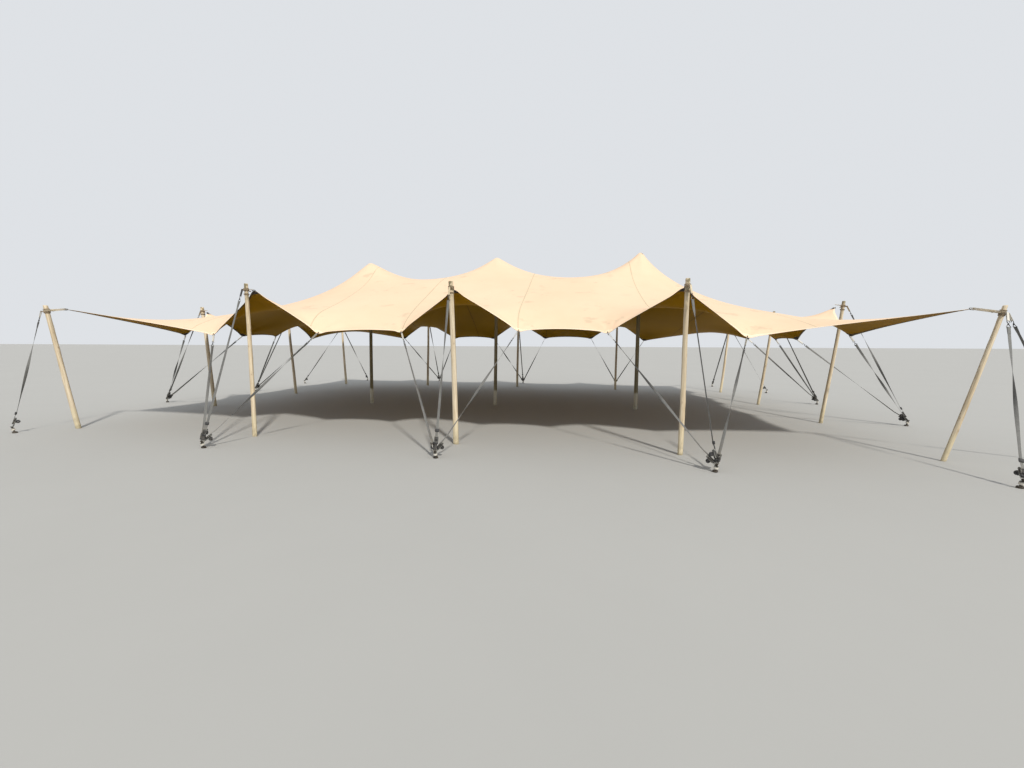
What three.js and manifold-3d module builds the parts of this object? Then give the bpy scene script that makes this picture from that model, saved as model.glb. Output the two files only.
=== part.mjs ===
// Stretch tent: one rectangular sheet of stretch fabric, pushed up by three centre poles, hung from
// fourteen leaning edge poles and pulled down between them by webbing straps that run to steel pegs.
// Millimetres. +X runs along the long side, +Y from the front edge to the back edge and +Z up.
// The origin is on the ground, at the foot of the middle centre pole.
import * as THREE from 'three';
import { mergeVertices } from 'three/addons/utils/BufferGeometryUtils.js';
import Module from 'manifold-3d';

const wasm = await Module();
wasm.setup();

const CLEARANCE = 0.3;

// Edge poles, in order round the tent. foot: where the pole stands. head: the middle of its top.
// eave: the point of the canopy's edge that hangs from the head. node: that point's place in the
// canopy's net. lows: the two points beside it where the edge is strapped down. girth: how thick
// the pole is, as a share of the radii in POLE. pegs: where the straps meet the ground. along: the
// direction of the edge, left out at a corner pole.
const EDGE_POLES = {
  front_left: {
    foot: [-7450, -4400], head: [-7630, -4600, 2350], eave: [-7320, -4500, 2280], node: [0, 0],
    girth: 0.92, pegs: [[-8100, -4930]],
  },
  front_1: {
    foot: [-3580, -4470], head: [-3500, -4570, 2690], eave: [-3400, -4510, 2570], node: [11, 0], along: 'x',
    lows: [[-4320, -4430, 1820], [-2300, -4430, 1850]], girth: 0.8, pegs: [[-3760, -5340]],
  },
  front_2: {
    foot: [150, -4440], head: [130, -4590, 2670], eave: [150, -4510, 2540], node: [22, 0], along: 'x',
    lows: [[-780, -4430, 1870], [1190, -4430, 1890]], girth: 1, pegs: [[90, -5320]],
  },
  front_3: {
    foot: [3730, -4550], head: [3690, -4700, 2640], eave: [3670, -4610, 2510], node: [33, 0], along: 'x',
    lows: [[2610, -4430, 1860], [4640, -4430, 1800]], girth: 0.88, pegs: [[3970, -5380]],
  },
  front_right: {
    foot: [7490, -4300], head: [7870, -4500, 2240], eave: [7530, -4430, 2200], node: [44, 0],
    girth: 0.66, pegs: [[7390, -5470], [9280, -4230]],
  },
  right_1: {
    foot: [7440, -1350], head: [7700, -1350, 2610], eave: [7500, -1380, 2460], node: [44, 10], along: 'y',
    lows: [[7380, -2180, 1860], [7380, -280, 1810]], girth: 0.78, pegs: [[9050, -1410]],
  },
  right_2: {
    foot: [7290, 1360], head: [7550, 1360, 2600], eave: [7360, 1420, 2440], node: [44, 20], along: 'y',
    lows: [[7380, 770, 1810], [7350, 2420, 1840]], girth: 0.8, pegs: [[8980, 1700]],
  },
  back_right: {
    foot: [7280, 4330], head: [7520, 4510, 2320], eave: [7200, 4290, 2180], node: [44, 30],
    girth: 0.85, pegs: [[8800, 4400], [7650, 6370]],
  },
  back_3: {
    foot: [3680, 4570], head: [3700, 4770, 2630], eave: [3690, 4640, 2480], node: [33, 30], along: 'x',
    lows: [[2760, 4620, 1870], [4640, 4590, 1800]], girth: 0.88, pegs: [[3900, 6600]],
  },
  back_2: {
    foot: [-20, 4870], head: [-20, 5070, 2650], eave: [-10, 4930, 2500], node: [22, 30], along: 'x',
    lows: [[-900, 4670, 1860], [1050, 4670, 1870]], girth: 0.95, pegs: [[40, 6330]],
  },
  back_1: {
    foot: [-3610, 4770], head: [-3610, 4950, 2650], eave: [-3600, 4810, 2500], node: [11, 30], along: 'x',
    lows: [[-4490, 4670, 1850], [-2450, 4670, 1860]], girth: 1, pegs: [[-3730, 6600]],
  },
  back_left: {
    foot: [-7030, 4640], head: [-7240, 4830, 2360], eave: [-6930, 4560, 2230], node: [0, 30],
    girth: 0.95, pegs: [[-6970, 6320], [-8800, 4570]],
  },
  left_2: {
    foot: [-6970, 1420], head: [-7190, 1510, 2480], eave: [-7040, 1550, 2320], node: [0, 20], along: 'y',
    lows: [[-7100, 770, 1860], [-7070, 2520, 1800]], girth: 0.95, pegs: [[-8720, 1770]],
  },
  left_1: {
    foot: [-7260, -1450], head: [-7450, -1450, 2580], eave: [-7280, -1460, 2430], node: [0, 10], along: 'y',
    lows: [[-7140, -2270, 1850], [-7140, -530, 1850]], girth: 1, pegs: [[-9120, -1060]],
  },
};

// Centre poles. peak: the point of the canopy that the pole's domed head lifts. girth: as above.
// bending: the share of the fabric's bending stiffness that is left there, where it is stretched most.
const CENTRE_POLES = {
  centre_1: { foot: [-3470, -220], peak: [-3410, -220, 3830], node: [11, 15], girth: 1, bending: 0.8 },
  centre_2: { foot: [0, 0], peak: [50, 0, 3940], node: [22, 15], girth: 1, bending: 0.55 },
  centre_3: { foot: [3720, -60], peak: [3730, -60, 3970], node: [33, 15], girth: 1.1, bending: 0.35 },
};

// The canopy is found as a stretched net: its tension pulls neighbours together, its bending
// stiffness rounds the peaks, and a taut hem makes the edges nearly straight between their fixings.
// It is tautest from each corner to the first low point: cornerSpan counts the net's steps there.
const NET = {
  columns: 44, rows: 30, lowStep: 3, tension: 1, hemTension: 6, cornerHemTension: 24,
  cornerSpan: { x: 8, y: 7 }, bending: 1.7, peakReach: 1.1,
};
const FABRIC = { thickness: 8 };

const POLE = { footRadius: 46, headRadius: 38, chamfer: 8, sides: 12 };
const DOME = { radius: 62, neck: 40, steps: 5 };
const COLLAR = { drop: 95, height: 40, wall: 7 };
const STRAP = { width: 38, thickness: 6, tuck: 3 };
const ROPE = { radius: 9, sides: 8 };
const RATCHET = { length: 150, width: 62, height: 34, fromPeg: 180 };
const PEG = {
  radius: 13, headRadius: 18, headHeight: 12, height: 125, collarRadius: 36, collarHeight: 28, lean: 0.3,
  ringHeight: 75, sides: 8,
};
const PEG_RING = { wall: 14, height: 14 };

const WOOD = { color: 0xd9bd8f, roughness: 0.7, metalness: 0 };
const CLOTH = { color: 0xe6cfa6, roughness: 0.85, metalness: 0 };
const WEBBING = { color: 0x2a2a2c, roughness: 0.8, metalness: 0 };
const STEEL = { color: 0x6d6a66, roughness: 0.45, metalness: 0.9 };

const vector = (p) => new THREE.Vector3(p[0], p[1], p[2] ?? 0);

function toSolid(geometry) {
  const bare = geometry.clone();
  bare.deleteAttribute('normal');
  bare.deleteAttribute('uv');
  const merged = mergeVertices(bare, 1e-3);
  return new wasm.Manifold(new wasm.Mesh({
    numProp: 3,
    vertProperties: new Float32Array(merged.attributes.position.array),
    triVerts: new Uint32Array(merged.index.array),
  }));
}

function toGeometry(solid) {
  const mesh = solid.getMesh();
  const geometry = new THREE.BufferGeometry();
  geometry.setAttribute('position', new THREE.BufferAttribute(new Float32Array(mesh.vertProperties), 3));
  geometry.setIndex(new THREE.BufferAttribute(new Uint32Array(mesh.triVerts), 1));
  geometry.computeVertexNormals();
  return geometry;
}

function nodeMesh(name, geometry, finish) {
  const mesh = new THREE.Mesh(geometry, new THREE.MeshStandardMaterial(finish));
  mesh.name = name;
  return mesh;
}

// A turned shape that leans: each of its level sections is moved sideways in proportion to its
// height, so that its foot stays flat on the ground.
function leaningLathe(profile, sides, base, slope) {
  const geometry = new THREE.LatheGeometry(profile.map(([r, z]) => new THREE.Vector2(r, z)), sides);
  geometry.rotateX(Math.PI / 2);
  geometry.applyMatrix4(new THREE.Matrix4().set(
    1, 0, slope.x, base.x,
    0, 1, slope.y, base.y,
    0, 0, 1, base.z,
    0, 0, 0, 1,
  ));
  return geometry;
}

// The net

const COLUMN_COUNT = NET.columns + 1;
const ROW_COUNT = NET.rows + 1;
const netIndex = (i, j) => j * COLUMN_COUNT + i;

function netPins() {
  const pins = new Map();
  for (const pole of Object.values(EDGE_POLES)) {
    const [i, j] = pole.node;
    pins.set(netIndex(i, j), pole.eave);
    if (pole.lows) {
      const step = pole.along === 'x' ? [NET.lowStep, 0] : [0, NET.lowStep];
      pins.set(netIndex(i - step[0], j - step[1]), pole.lows[0]);
      pins.set(netIndex(i + step[0], j + step[1]), pole.lows[1]);
    }
  }
  for (const pole of Object.values(CENTRE_POLES)) {
    pins.set(netIndex(...pole.node), pole.peak);
  }
  return pins;
}

// The bending stiffness at a place in the net: less and less towards the peaks.
function bendingAt(i, j) {
  const shares = Object.values(CENTRE_POLES).map(({ node, bending }) => {
    const distance = Math.hypot(i - node[0], j - node[1]) / NET.peakReach;
    return 1 - (1 - bending) * Math.exp(-distance * distance);
  });
  return NET.bending * Math.min(...shares);
}

// The tension of the hem's link from step to step + 1 on a side with the given number of steps.
function hemTension(step, steps, cornerSpan) {
  const inCorner = step < cornerSpan || step >= steps - cornerSpan;
  return inCorner ? NET.cornerHemTension : NET.hemTension;
}

// Every tension link [a, b, stiffness] and every bending triple [a, b, c, stiffness] of the net.
function netMembers() {
  const links = [];
  const bends = [];
  for (let j = 0; j < ROW_COUNT; j += 1) {
    for (let i = 0; i < COLUMN_COUNT; i += 1) {
      const hemRow = j === 0 || j === NET.rows;
      const hemColumn = i === 0 || i === NET.columns;
      if (i < NET.columns) {
        const tension = hemRow ? hemTension(i, NET.columns, NET.cornerSpan.x) : NET.tension;
        links.push([netIndex(i, j), netIndex(i + 1, j), tension]);
      }
      if (j < NET.rows) {
        const tension = hemColumn ? hemTension(j, NET.rows, NET.cornerSpan.y) : NET.tension;
        links.push([netIndex(i, j), netIndex(i, j + 1), tension]);
      }
      if (!hemRow && i > 0 && i < NET.columns) {
        bends.push([netIndex(i - 1, j), netIndex(i, j), netIndex(i + 1, j), bendingAt(i, j)]);
      }
      if (!hemColumn && j > 0 && j < NET.rows) {
        bends.push([netIndex(i, j - 1), netIndex(i, j), netIndex(i, j + 1), bendingAt(i, j)]);
      }
    }
  }
  return { links, bends };
}

function netForce({ links, bends }, values, free) {
  const force = new Float64Array(values.length);
  for (const [a, b, stiffness] of links) {
    const pull = stiffness * (values[a] - values[b]);
    force[a] += pull;
    force[b] -= pull;
  }
  for (const [a, b, c, stiffness] of bends) {
    const curve = stiffness * (values[a] - 2 * values[b] + values[c]);
    force[a] += curve;
    force[b] -= 2 * curve;
    force[c] += curve;
  }
  return force.map((f, k) => (free[k] ? f : 0));
}

// Conjugate gradients: moves the free points of one coordinate until every force is zero.
function relax(members, start, free) {
  const dot = (a, b) => a.reduce((sum, x, k) => sum + x * b[k], 0);
  const values = Float64Array.from(start);
  const residual = netForce(members, values, free).map((f) => -f);
  let direction = Float64Array.from(residual);
  let energy = dot(residual, residual);
  while (energy > 1e-8) {
    const response = netForce(members, direction, free);
    const step = energy / dot(direction, response);
    values.forEach((_, k) => {
      values[k] += step * direction[k];
      residual[k] -= step * response[k];
    });
    const next = dot(residual, residual);
    direction = direction.map((d, k) => residual[k] + (next / energy) * d);
    energy = next;
  }
  return values;
}

function shapeNet() {
  const pins = netPins();
  const members = netMembers();
  const count = COLUMN_COUNT * ROW_COUNT;
  const free = Array.from({ length: count }, (_, k) => !pins.has(k));
  const [x, y, z] = [0, 1, 2].map((axis) => {
    const start = Array.from({ length: count }, (_, k) => (pins.has(k) ? pins.get(k)[axis] : 0));
    return relax(members, start, free);
  });
  return Array.from({ length: count }, (_, k) => new THREE.Vector3(x[k], y[k], z[k]));
}

const net = shapeNet();

function netNormal(i, j) {
  const at = (a, b) => net[netIndex(
    THREE.MathUtils.clamp(a, 0, NET.columns),
    THREE.MathUtils.clamp(b, 0, NET.rows),
  )];
  const acrossX = at(i + 1, j).clone().sub(at(i - 1, j));
  const acrossY = at(i, j + 1).clone().sub(at(i, j - 1));
  return acrossX.cross(acrossY).normalize();
}

// From an edge point of the net, the direction that leaves the fabric.
function outward(i, j) {
  const insideI = THREE.MathUtils.clamp(i, 1, NET.columns - 1);
  const insideJ = THREE.MathUtils.clamp(j, 1, NET.rows - 1);
  if (insideI === i && insideJ === j) return new THREE.Vector3();
  return net[netIndex(i, j)].clone().sub(net[netIndex(insideI, insideJ)]).normalize();
}

// A point on one face of the fabric: the net's point, moved along its normal.
function facePoint(i, j, height) {
  return net[netIndex(i, j)].clone().addScaledVector(netNormal(i, j), height);
}

// A closed sheet on the net, swollen by a clearance where a neighbour is cut back from it.
function sheetGeometry(thickness, swell = 0) {
  const upper = [];
  const lower = [];
  for (let j = 0; j < ROW_COUNT; j += 1) {
    for (let i = 0; i < COLUMN_COUNT; i += 1) {
      const edge = outward(i, j).multiplyScalar(swell);
      upper.push(facePoint(i, j, thickness / 2 + swell).add(edge));
      lower.push(facePoint(i, j, -thickness / 2 - swell).add(edge));
    }
  }
  const positions = [...upper, ...lower].flatMap((p) => p.toArray());
  const under = upper.length;
  const faces = [];
  for (let j = 0; j < NET.rows; j += 1) {
    for (let i = 0; i < NET.columns; i += 1) {
      const [a, b, c, d] = [netIndex(i, j), netIndex(i + 1, j), netIndex(i + 1, j + 1), netIndex(i, j + 1)];
      faces.push(a, b, c, a, c, d, under + a, under + c, under + b, under + a, under + d, under + c);
    }
  }
  const rim = (a, b) => faces.push(under + a, under + b, b, under + a, b, a);
  for (let i = 0; i < NET.columns; i += 1) {
    rim(netIndex(i, 0), netIndex(i + 1, 0));
    rim(netIndex(i + 1, NET.rows), netIndex(i, NET.rows));
  }
  for (let j = 0; j < NET.rows; j += 1) {
    rim(netIndex(NET.columns, j), netIndex(NET.columns, j + 1));
    rim(netIndex(0, j + 1), netIndex(0, j));
  }
  const geometry = new THREE.BufferGeometry();
  geometry.setAttribute('position', new THREE.Float32BufferAttribute(positions, 3));
  geometry.setIndex(faces);
  geometry.computeVertexNormals();
  return geometry;
}

// Poles

function edgePoleGeometry({ foot, head, girth }, grow = 0) {
  const height = head[2] + grow;
  const footRadius = POLE.footRadius * girth + grow;
  const headRadius = POLE.headRadius * girth + grow;
  const slope = new THREE.Vector2(head[0] - foot[0], head[1] - foot[1]).divideScalar(head[2]);
  const profile = [
    [0, 0], [footRadius, 0],
    [headRadius, height - POLE.chamfer], [headRadius - POLE.chamfer, height], [0, height],
  ];
  return leaningLathe(profile, POLE.sides, vector(foot), slope);
}

// The dome's outline, from its widest circle to its top.
function domeProfile() {
  return Array.from({ length: DOME.steps + 1 }, (_, k) => {
    const angle = (Math.PI / 2) * (k / DOME.steps);
    return [k === DOME.steps ? 0 : DOME.radius * Math.cos(angle), DOME.radius * Math.sin(angle)];
  });
}

// The height of the dome's widest circle at which the whole dome just clears the fabric round the
// peak. For each face of fabric, the dome's farthest corner stays a clearance below its plane.
function domeHeight({ foot, node }, slope) {
  const dome = leaningLathe([[0, 0], ...domeProfile()], POLE.sides, new THREE.Vector3(), slope);
  const corners = Array.from({ length: dome.attributes.position.count }, (_, k) => (
    new THREE.Vector3().fromBufferAttribute(dome.attributes.position, k)
  ));
  const under = (i, j) => facePoint(node[0] + i, node[1] + j, -FABRIC.thickness / 2);
  const top = under(0, 0);
  const ring = [[1, 0], [1, 1], [0, 1], [-1, 0], [-1, -1], [0, -1]].map(([i, j]) => under(i, j).sub(top));
  const heights = ring.map((edge, k) => {
    const normal = edge.clone().cross(ring[(k + 1) % ring.length]).normalize();
    const reach = Math.max(...corners.map((corner) => normal.dot(corner)));
    const rise = normal.dot(new THREE.Vector3(slope.x, slope.y, 1));
    return (normal.dot(top.clone().sub(vector(foot))) - CLEARANCE - reach) / rise;
  });
  return Math.min(...heights);
}

function centrePoleGeometry(pole) {
  const { foot, peak, girth } = pole;
  const slope = new THREE.Vector2(peak[0] - foot[0], peak[1] - foot[1]).divideScalar(peak[2]);
  const domeZ = domeHeight(pole, slope);
  const profile = [
    [0, 0], [POLE.footRadius * girth, 0], [POLE.headRadius * girth, domeZ - DOME.neck],
    [DOME.radius, domeZ - DOME.neck / 2],
    ...domeProfile().map(([r, z]) => [r, domeZ + z]),
  ];
  return leaningLathe(profile, POLE.sides, vector(foot), slope);
}

// Pegs: steel pins with a collar on the ground, driven in so that they lean away from the straps.

function pegSlope([x, y], pole) {
  const away = new THREE.Vector2(x - pole.foot[0], y - pole.foot[1]);
  return away.normalize().multiplyScalar(PEG.lean);
}

function pegGeometry(peg, pole, grow = 0) {
  const neck = PEG.height - PEG.headHeight - grow;
  const profile = [
    [0, 0], [PEG.collarRadius + grow, 0], [PEG.collarRadius + grow, PEG.collarHeight + grow],
    [PEG.radius + grow, PEG.collarHeight + grow], [PEG.radius + grow, neck], [PEG.headRadius + grow, neck],
    [PEG.headRadius + grow, PEG.height + grow], [0, PEG.height + grow],
  ];
  return leaningLathe(profile, PEG.sides, vector(peg), pegSlope(peg, pole));
}

function pegRingCentre(peg, pole) {
  const slope = pegSlope(peg, pole);
  return new THREE.Vector3(
    peg[0] + slope.x * PEG.ringHeight,
    peg[1] + slope.y * PEG.ringHeight,
    PEG.ringHeight,
  );
}

// Straps

// Stands a geometry at a place with its local Z along a direction and its local Y as near as can
// be to the direction that it faces.
function placed(geometry, place, direction, facing = new THREE.Vector3(0, 0, 1)) {
  const z = direction.clone().normalize();
  const x = facing.clone().cross(z).normalize();
  const y = z.clone().cross(x);
  geometry.applyMatrix4(new THREE.Matrix4().makeBasis(x, y, z).setPosition(place));
  return toSolid(geometry);
}

function strap(from, to, facing) {
  const run = to.clone().sub(from);
  const length = run.length();
  const box = new THREE.BoxGeometry(STRAP.width, STRAP.thickness, length);
  return placed(box, from.clone().addScaledVector(run, 0.5), run, facing);
}

function rope(from, to) {
  const run = to.clone().sub(from);
  const round = new THREE.CylinderGeometry(ROPE.radius, ROPE.radius, run.length(), ROPE.sides);
  round.rotateX(Math.PI / 2);
  return placed(round, from.clone().addScaledVector(run, 0.5), run);
}

function ratchet(from, to, facing) {
  const run = to.clone().sub(from).normalize();
  const box = new THREE.BoxGeometry(RATCHET.width, RATCHET.height, RATCHET.length);
  return placed(box, from.clone().addScaledVector(run, RATCHET.fromPeg), run, facing);
}

function disc(radius, height, place, direction, sides) {
  const round = new THREE.CylinderGeometry(radius, radius, height, sides);
  round.rotateX(Math.PI / 2);
  return placed(round, place, direction);
}

function collarCentre({ foot, head }) {
  return vector(head).lerp(vector(foot), COLLAR.drop / head[2]);
}

// The level direction from a pole's foot to one of its pegs. The straps of that peg face this way.
function towardsPeg(pole, peg) {
  return new THREE.Vector3(peg[0] - pole.foot[0], peg[1] - pole.foot[1], 0).normalize();
}

// The point of the sling's outer wall that faces a peg.
function slingFace(pole, peg) {
  const out = POLE.headRadius * pole.girth + COLLAR.wall / 2;
  return collarCentre(pole).addScaledVector(towardsPeg(pole, peg), out);
}

// Everything of one edge pole that is webbing or rope: the sling round its head, the tie from the
// sling to the eave, the strap from the sling to each peg, and the straps from the peg to the lows.
function strapSetGeometry(pole) {
  const sling = collarCentre(pole);
  const axis = vector(pole.head).sub(vector(pole.foot));
  const slingRadius = POLE.headRadius * pole.girth + COLLAR.wall;
  let solid = disc(slingRadius, COLLAR.height, sling, axis, POLE.sides);
  solid = solid.add(pole.lows ? strap(sling, vector(pole.eave)) : rope(sling, vector(pole.eave)));
  for (const peg of pole.pegs) {
    const ring = pegRingCentre(peg, pole);
    const ringAxis = vector([...pegSlope(peg, pole).toArray(), 1]);
    solid = solid.add(disc(PEG.radius + PEG_RING.wall, PEG_RING.height, ring, ringAxis, PEG.sides));
    const tops = [slingFace(pole, peg)];
    for (const low of pole.lows ?? []) {
      const end = vector(low);
      tops.push(end.addScaledVector(end.clone().sub(ring).normalize(), STRAP.tuck));
    }
    const facing = towardsPeg(pole, peg);
    for (const top of tops) {
      solid = solid.add(strap(ring, top, facing)).add(ratchet(ring, top, facing));
    }
    solid = solid.subtract(toSolid(pegGeometry(peg, pole, CLEARANCE)));
  }
  solid = solid.subtract(toSolid(edgePoleGeometry(pole, CLEARANCE)));
  // The canopy cuts small corners off the ends of the straps: only the whole set is kept.
  const pieces = solid.subtract(swollenCanopy).decompose();
  return toGeometry(pieces.reduce((a, b) => (b.volume() > a.volume() ? b : a)));
}

const swollenCanopy = toSolid(sheetGeometry(FABRIC.thickness, CLEARANCE));

const tent = new THREE.Group();
tent.add(nodeMesh('canopy', sheetGeometry(FABRIC.thickness), { ...CLOTH, side: THREE.DoubleSide }));
for (const [name, pole] of Object.entries(CENTRE_POLES)) {
  tent.add(nodeMesh(`pole_${name}`, centrePoleGeometry(pole), WOOD));
}
for (const [name, pole] of Object.entries(EDGE_POLES)) {
  tent.add(nodeMesh(`pole_${name}`, edgePoleGeometry(pole), WOOD));
  tent.add(nodeMesh(`straps_${name}`, strapSetGeometry(pole), WEBBING));
  pole.pegs.forEach((peg, k) => {
    const suffix = pole.pegs.length > 1 ? `_${'ab'[k]}` : '';
    tent.add(nodeMesh(`peg_${name}${suffix}`, pegGeometry(peg, pole), STEEL));
  });
}

export default tent;
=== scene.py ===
# %% [markdown]
# # A stretch tent, dressed for a portrait
# The tent is one sheet of elastic fabric. Three centre poles push it up, fourteen leaning edge
# poles hold its rim out and up, and webbing straps with ratchets pull it down to steel pegs.
# The imported model gives every place; these cells give each piece the shape and finish of the
# real thing. Everything is in metres: X along the long side, Y from front to back, Z up.

import bpy
import numpy as np
from mathutils import Matrix


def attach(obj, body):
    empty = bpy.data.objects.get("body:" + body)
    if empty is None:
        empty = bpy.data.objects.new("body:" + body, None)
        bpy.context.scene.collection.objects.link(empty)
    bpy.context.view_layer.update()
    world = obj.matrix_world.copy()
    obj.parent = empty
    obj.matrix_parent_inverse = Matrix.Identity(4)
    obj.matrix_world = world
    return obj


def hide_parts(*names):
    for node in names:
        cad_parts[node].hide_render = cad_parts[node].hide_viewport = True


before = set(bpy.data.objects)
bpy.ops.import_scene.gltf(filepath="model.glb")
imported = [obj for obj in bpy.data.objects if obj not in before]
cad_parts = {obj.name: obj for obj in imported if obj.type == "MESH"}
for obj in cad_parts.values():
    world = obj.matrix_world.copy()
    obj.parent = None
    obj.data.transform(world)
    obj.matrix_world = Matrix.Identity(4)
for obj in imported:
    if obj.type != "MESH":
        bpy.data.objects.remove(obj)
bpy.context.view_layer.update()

# %% [markdown]
# ## Camera
# The picture was taken from standing height with a wide lens. Three unit vectors say where the
# camera's right, its top and its line of sight point, which is easier to keep exact than angles.

# %% Camera
SENSOR_WIDTH, LENS = 36.0, 14.59
EYE = (2.044, -11.103, 1.700)
RIGHT = (0.98998, 0.14116, 0.00478)
UP = (-0.01864, 0.09698, 0.99511)
SIGHT = (-0.14000, 0.98523, -0.09864)


def make_camera():
    """A camera whose axes are the columns right, up and minus the line of sight."""
    data = bpy.data.cameras.new("camera")
    data.sensor_width, data.lens, data.clip_end = SENSOR_WIDTH, LENS, 200.0
    camera = bpy.data.objects.new("camera", data)
    bpy.context.scene.collection.objects.link(camera)
    turn = np.eye(4)
    turn[:3, 0], turn[:3, 1], turn[:3, 2], turn[:3, 3] = RIGHT, UP, -np.array(SIGHT), EYE
    camera.matrix_world = Matrix(turn)
    bpy.context.scene.camera = camera
    return camera


camera = make_camera()
print("camera at", EYE, "lens", round(camera.data.lens, 2), "mm")

# %% [markdown]
# ## Shapes from arrays
# Every new piece is a grid of points worked out with numpy: rows along it, columns round it or
# across it. A *patch* is such a grid with its faces, its map (u, v) in metres and two vectors
# for each point that materials can read: `grain`, its place in the wood or rope it is cut from,
# and `marks`, masks for knots, end grain and wear. Patches are joined into one mesh.


# %% Grids
def unit(v):
    """Vectors made one metre long."""
    v = np.asarray(v, float)
    return v / np.linalg.norm(v, axis=-1, keepdims=True)


def grid_faces(rows, columns, around=False):
    """Quads between the neighbours of a grid; with around, the last column joins the first."""
    across = columns if around else columns - 1
    r, c = np.meshgrid(np.arange(rows - 1), np.arange(across), indexing="ij")
    left, right = r * columns + c, r * columns + (c + 1) % columns
    return np.stack([left, right, right + columns, left + columns], -1).reshape(-1, 4)


def run_length(points, axis):
    """Distance walked along one axis of a grid of points, averaged over the other axis."""
    steps = np.linalg.norm(np.diff(points, axis=axis), axis=-1).mean(axis=1 - axis)
    return np.concatenate([[0.0], np.cumsum(steps)])


# %% [markdown]
# Two kinds of closed body are enough for the whole tent. A *tube* is a grid whose columns go
# round, with its ends shut or joined: poles, ropes, straps, rings. A *shell* is two grids, one
# over the other, joined round their rim: patches of cloth. Blender wants faces that point
# outwards, and the sign of a body's volume says whether they do.


# %% Patches
NO_TRIANGLES, NO_TRIANGLE_MAP = np.zeros((0, 3), int), np.zeros((0, 3, 2))


def make_patch(points, quads, triangles, uv_quads, uv_triangles, grain=None, marks=None, slot=0):
    """Turns a closed patch inside out if its volume is negative, so that faces point outwards."""
    centre = points.mean(axis=0)
    corners = np.concatenate([quads[:, [0, 1, 2]], quads[:, [0, 2, 3]], triangles])
    a, b, c = (points[corners[:, k]] - centre for k in range(3))
    if np.einsum("ij,ij->i", a, np.cross(b, c)).sum() < 0:
        quads, triangles = quads[:, ::-1], triangles[:, ::-1]
        uv_quads, uv_triangles = uv_quads[:, ::-1], uv_triangles[:, ::-1]
    nothing = np.zeros((len(points), 3))
    return dict(points=points, quads=quads, triangles=triangles, uv_quads=uv_quads, uv_triangles=uv_triangles,
                slot=slot, grain=nothing if grain is None else grain.reshape(-1, 3),
                marks=nothing if marks is None else marks.reshape(-1, 3))


def with_middles(values):
    """The values of a grid's points as one list, then the averages of its first and last row."""
    return np.concatenate([values.reshape(-1, 3), values[0].mean(0)[None], values[-1].mean(0)[None]])


def tube(points, closed=False, uv=None, grain=None, marks=None, slot=0):
    """A grid whose columns go round and whose rows go along. closed joins the last row to the
    first; otherwise each end is shut with a fan of triangles round its middle."""
    rows, columns = points.shape[:2]
    ring = np.concatenate([points, points[:, :1]], axis=1)
    if uv is None:
        u, v = np.meshgrid(run_length(ring, 1), run_length(points, 0))
        uv = np.stack([u, v], -1)
    else:
        uv = np.concatenate([uv, uv[:, :1]], axis=1)
    quads = grid_faces(rows, columns, around=True)
    uv_quads = uv.reshape(-1, 2)[grid_faces(rows, columns + 1)]
    if closed:
        first = np.arange(columns)
        last = first + (rows - 1) * columns
        seam = np.stack([last, np.roll(last, -1), np.roll(first, -1), first], -1)
        step = uv[-1] - uv[-2]
        seam_uv = np.stack([uv[-1, :-1], uv[-1, 1:], (uv[-1] + step)[1:], (uv[-1] + step)[:-1]], 1)
        return make_patch(points.reshape(-1, 3), np.concatenate([quads, seam]), NO_TRIANGLES,
                          np.concatenate([uv_quads, seam_uv]), NO_TRIANGLE_MAP, grain, marks, slot)
    fans, fan_uvs = [], []
    for row, middle, flip in ((0, rows * columns, 1), (rows - 1, rows * columns + 1, -1)):
        edge = np.arange(columns) + row * columns
        fan = np.stack([np.roll(edge, -1), edge, np.full(columns, middle)], -1)
        fan_uv = np.stack([uv[row, 1:], uv[row, :-1], np.broadcast_to(uv[row].mean(0), (columns, 2))], 1)
        fans.append(fan[:, ::flip])
        fan_uvs.append(fan_uv[:, ::flip])
    grain, marks = (None if values is None else with_middles(values) for values in (grain, marks))
    return make_patch(with_middles(points), quads, np.concatenate(fans), uv_quads, np.concatenate(fan_uvs),
                      grain, marks, slot)


def shell(upper, lower, uv, slot):
    """Two grids of points, one over the other, joined round their rim into a thin closed body."""
    rows, columns = upper.shape[:2]
    count = rows * columns
    index = np.arange(count).reshape(rows, columns)
    face = grid_faces(rows, columns)
    rim = np.concatenate([index[0], index[1:, -1], index[-1, -2::-1], index[-2:0:-1, 0]])
    ahead = np.roll(rim, -1)
    wall = np.stack([rim, rim + count, ahead + count, ahead], -1)
    quads = np.concatenate([face, (face + count)[:, ::-1], wall])
    points = np.concatenate([upper.reshape(-1, 3), lower.reshape(-1, 3)])
    flat_uv = np.concatenate([uv.reshape(-1, 2)] * 2)
    return make_patch(points, quads, NO_TRIANGLES, flat_uv[quads], NO_TRIANGLE_MAP, slot=slot)
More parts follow.
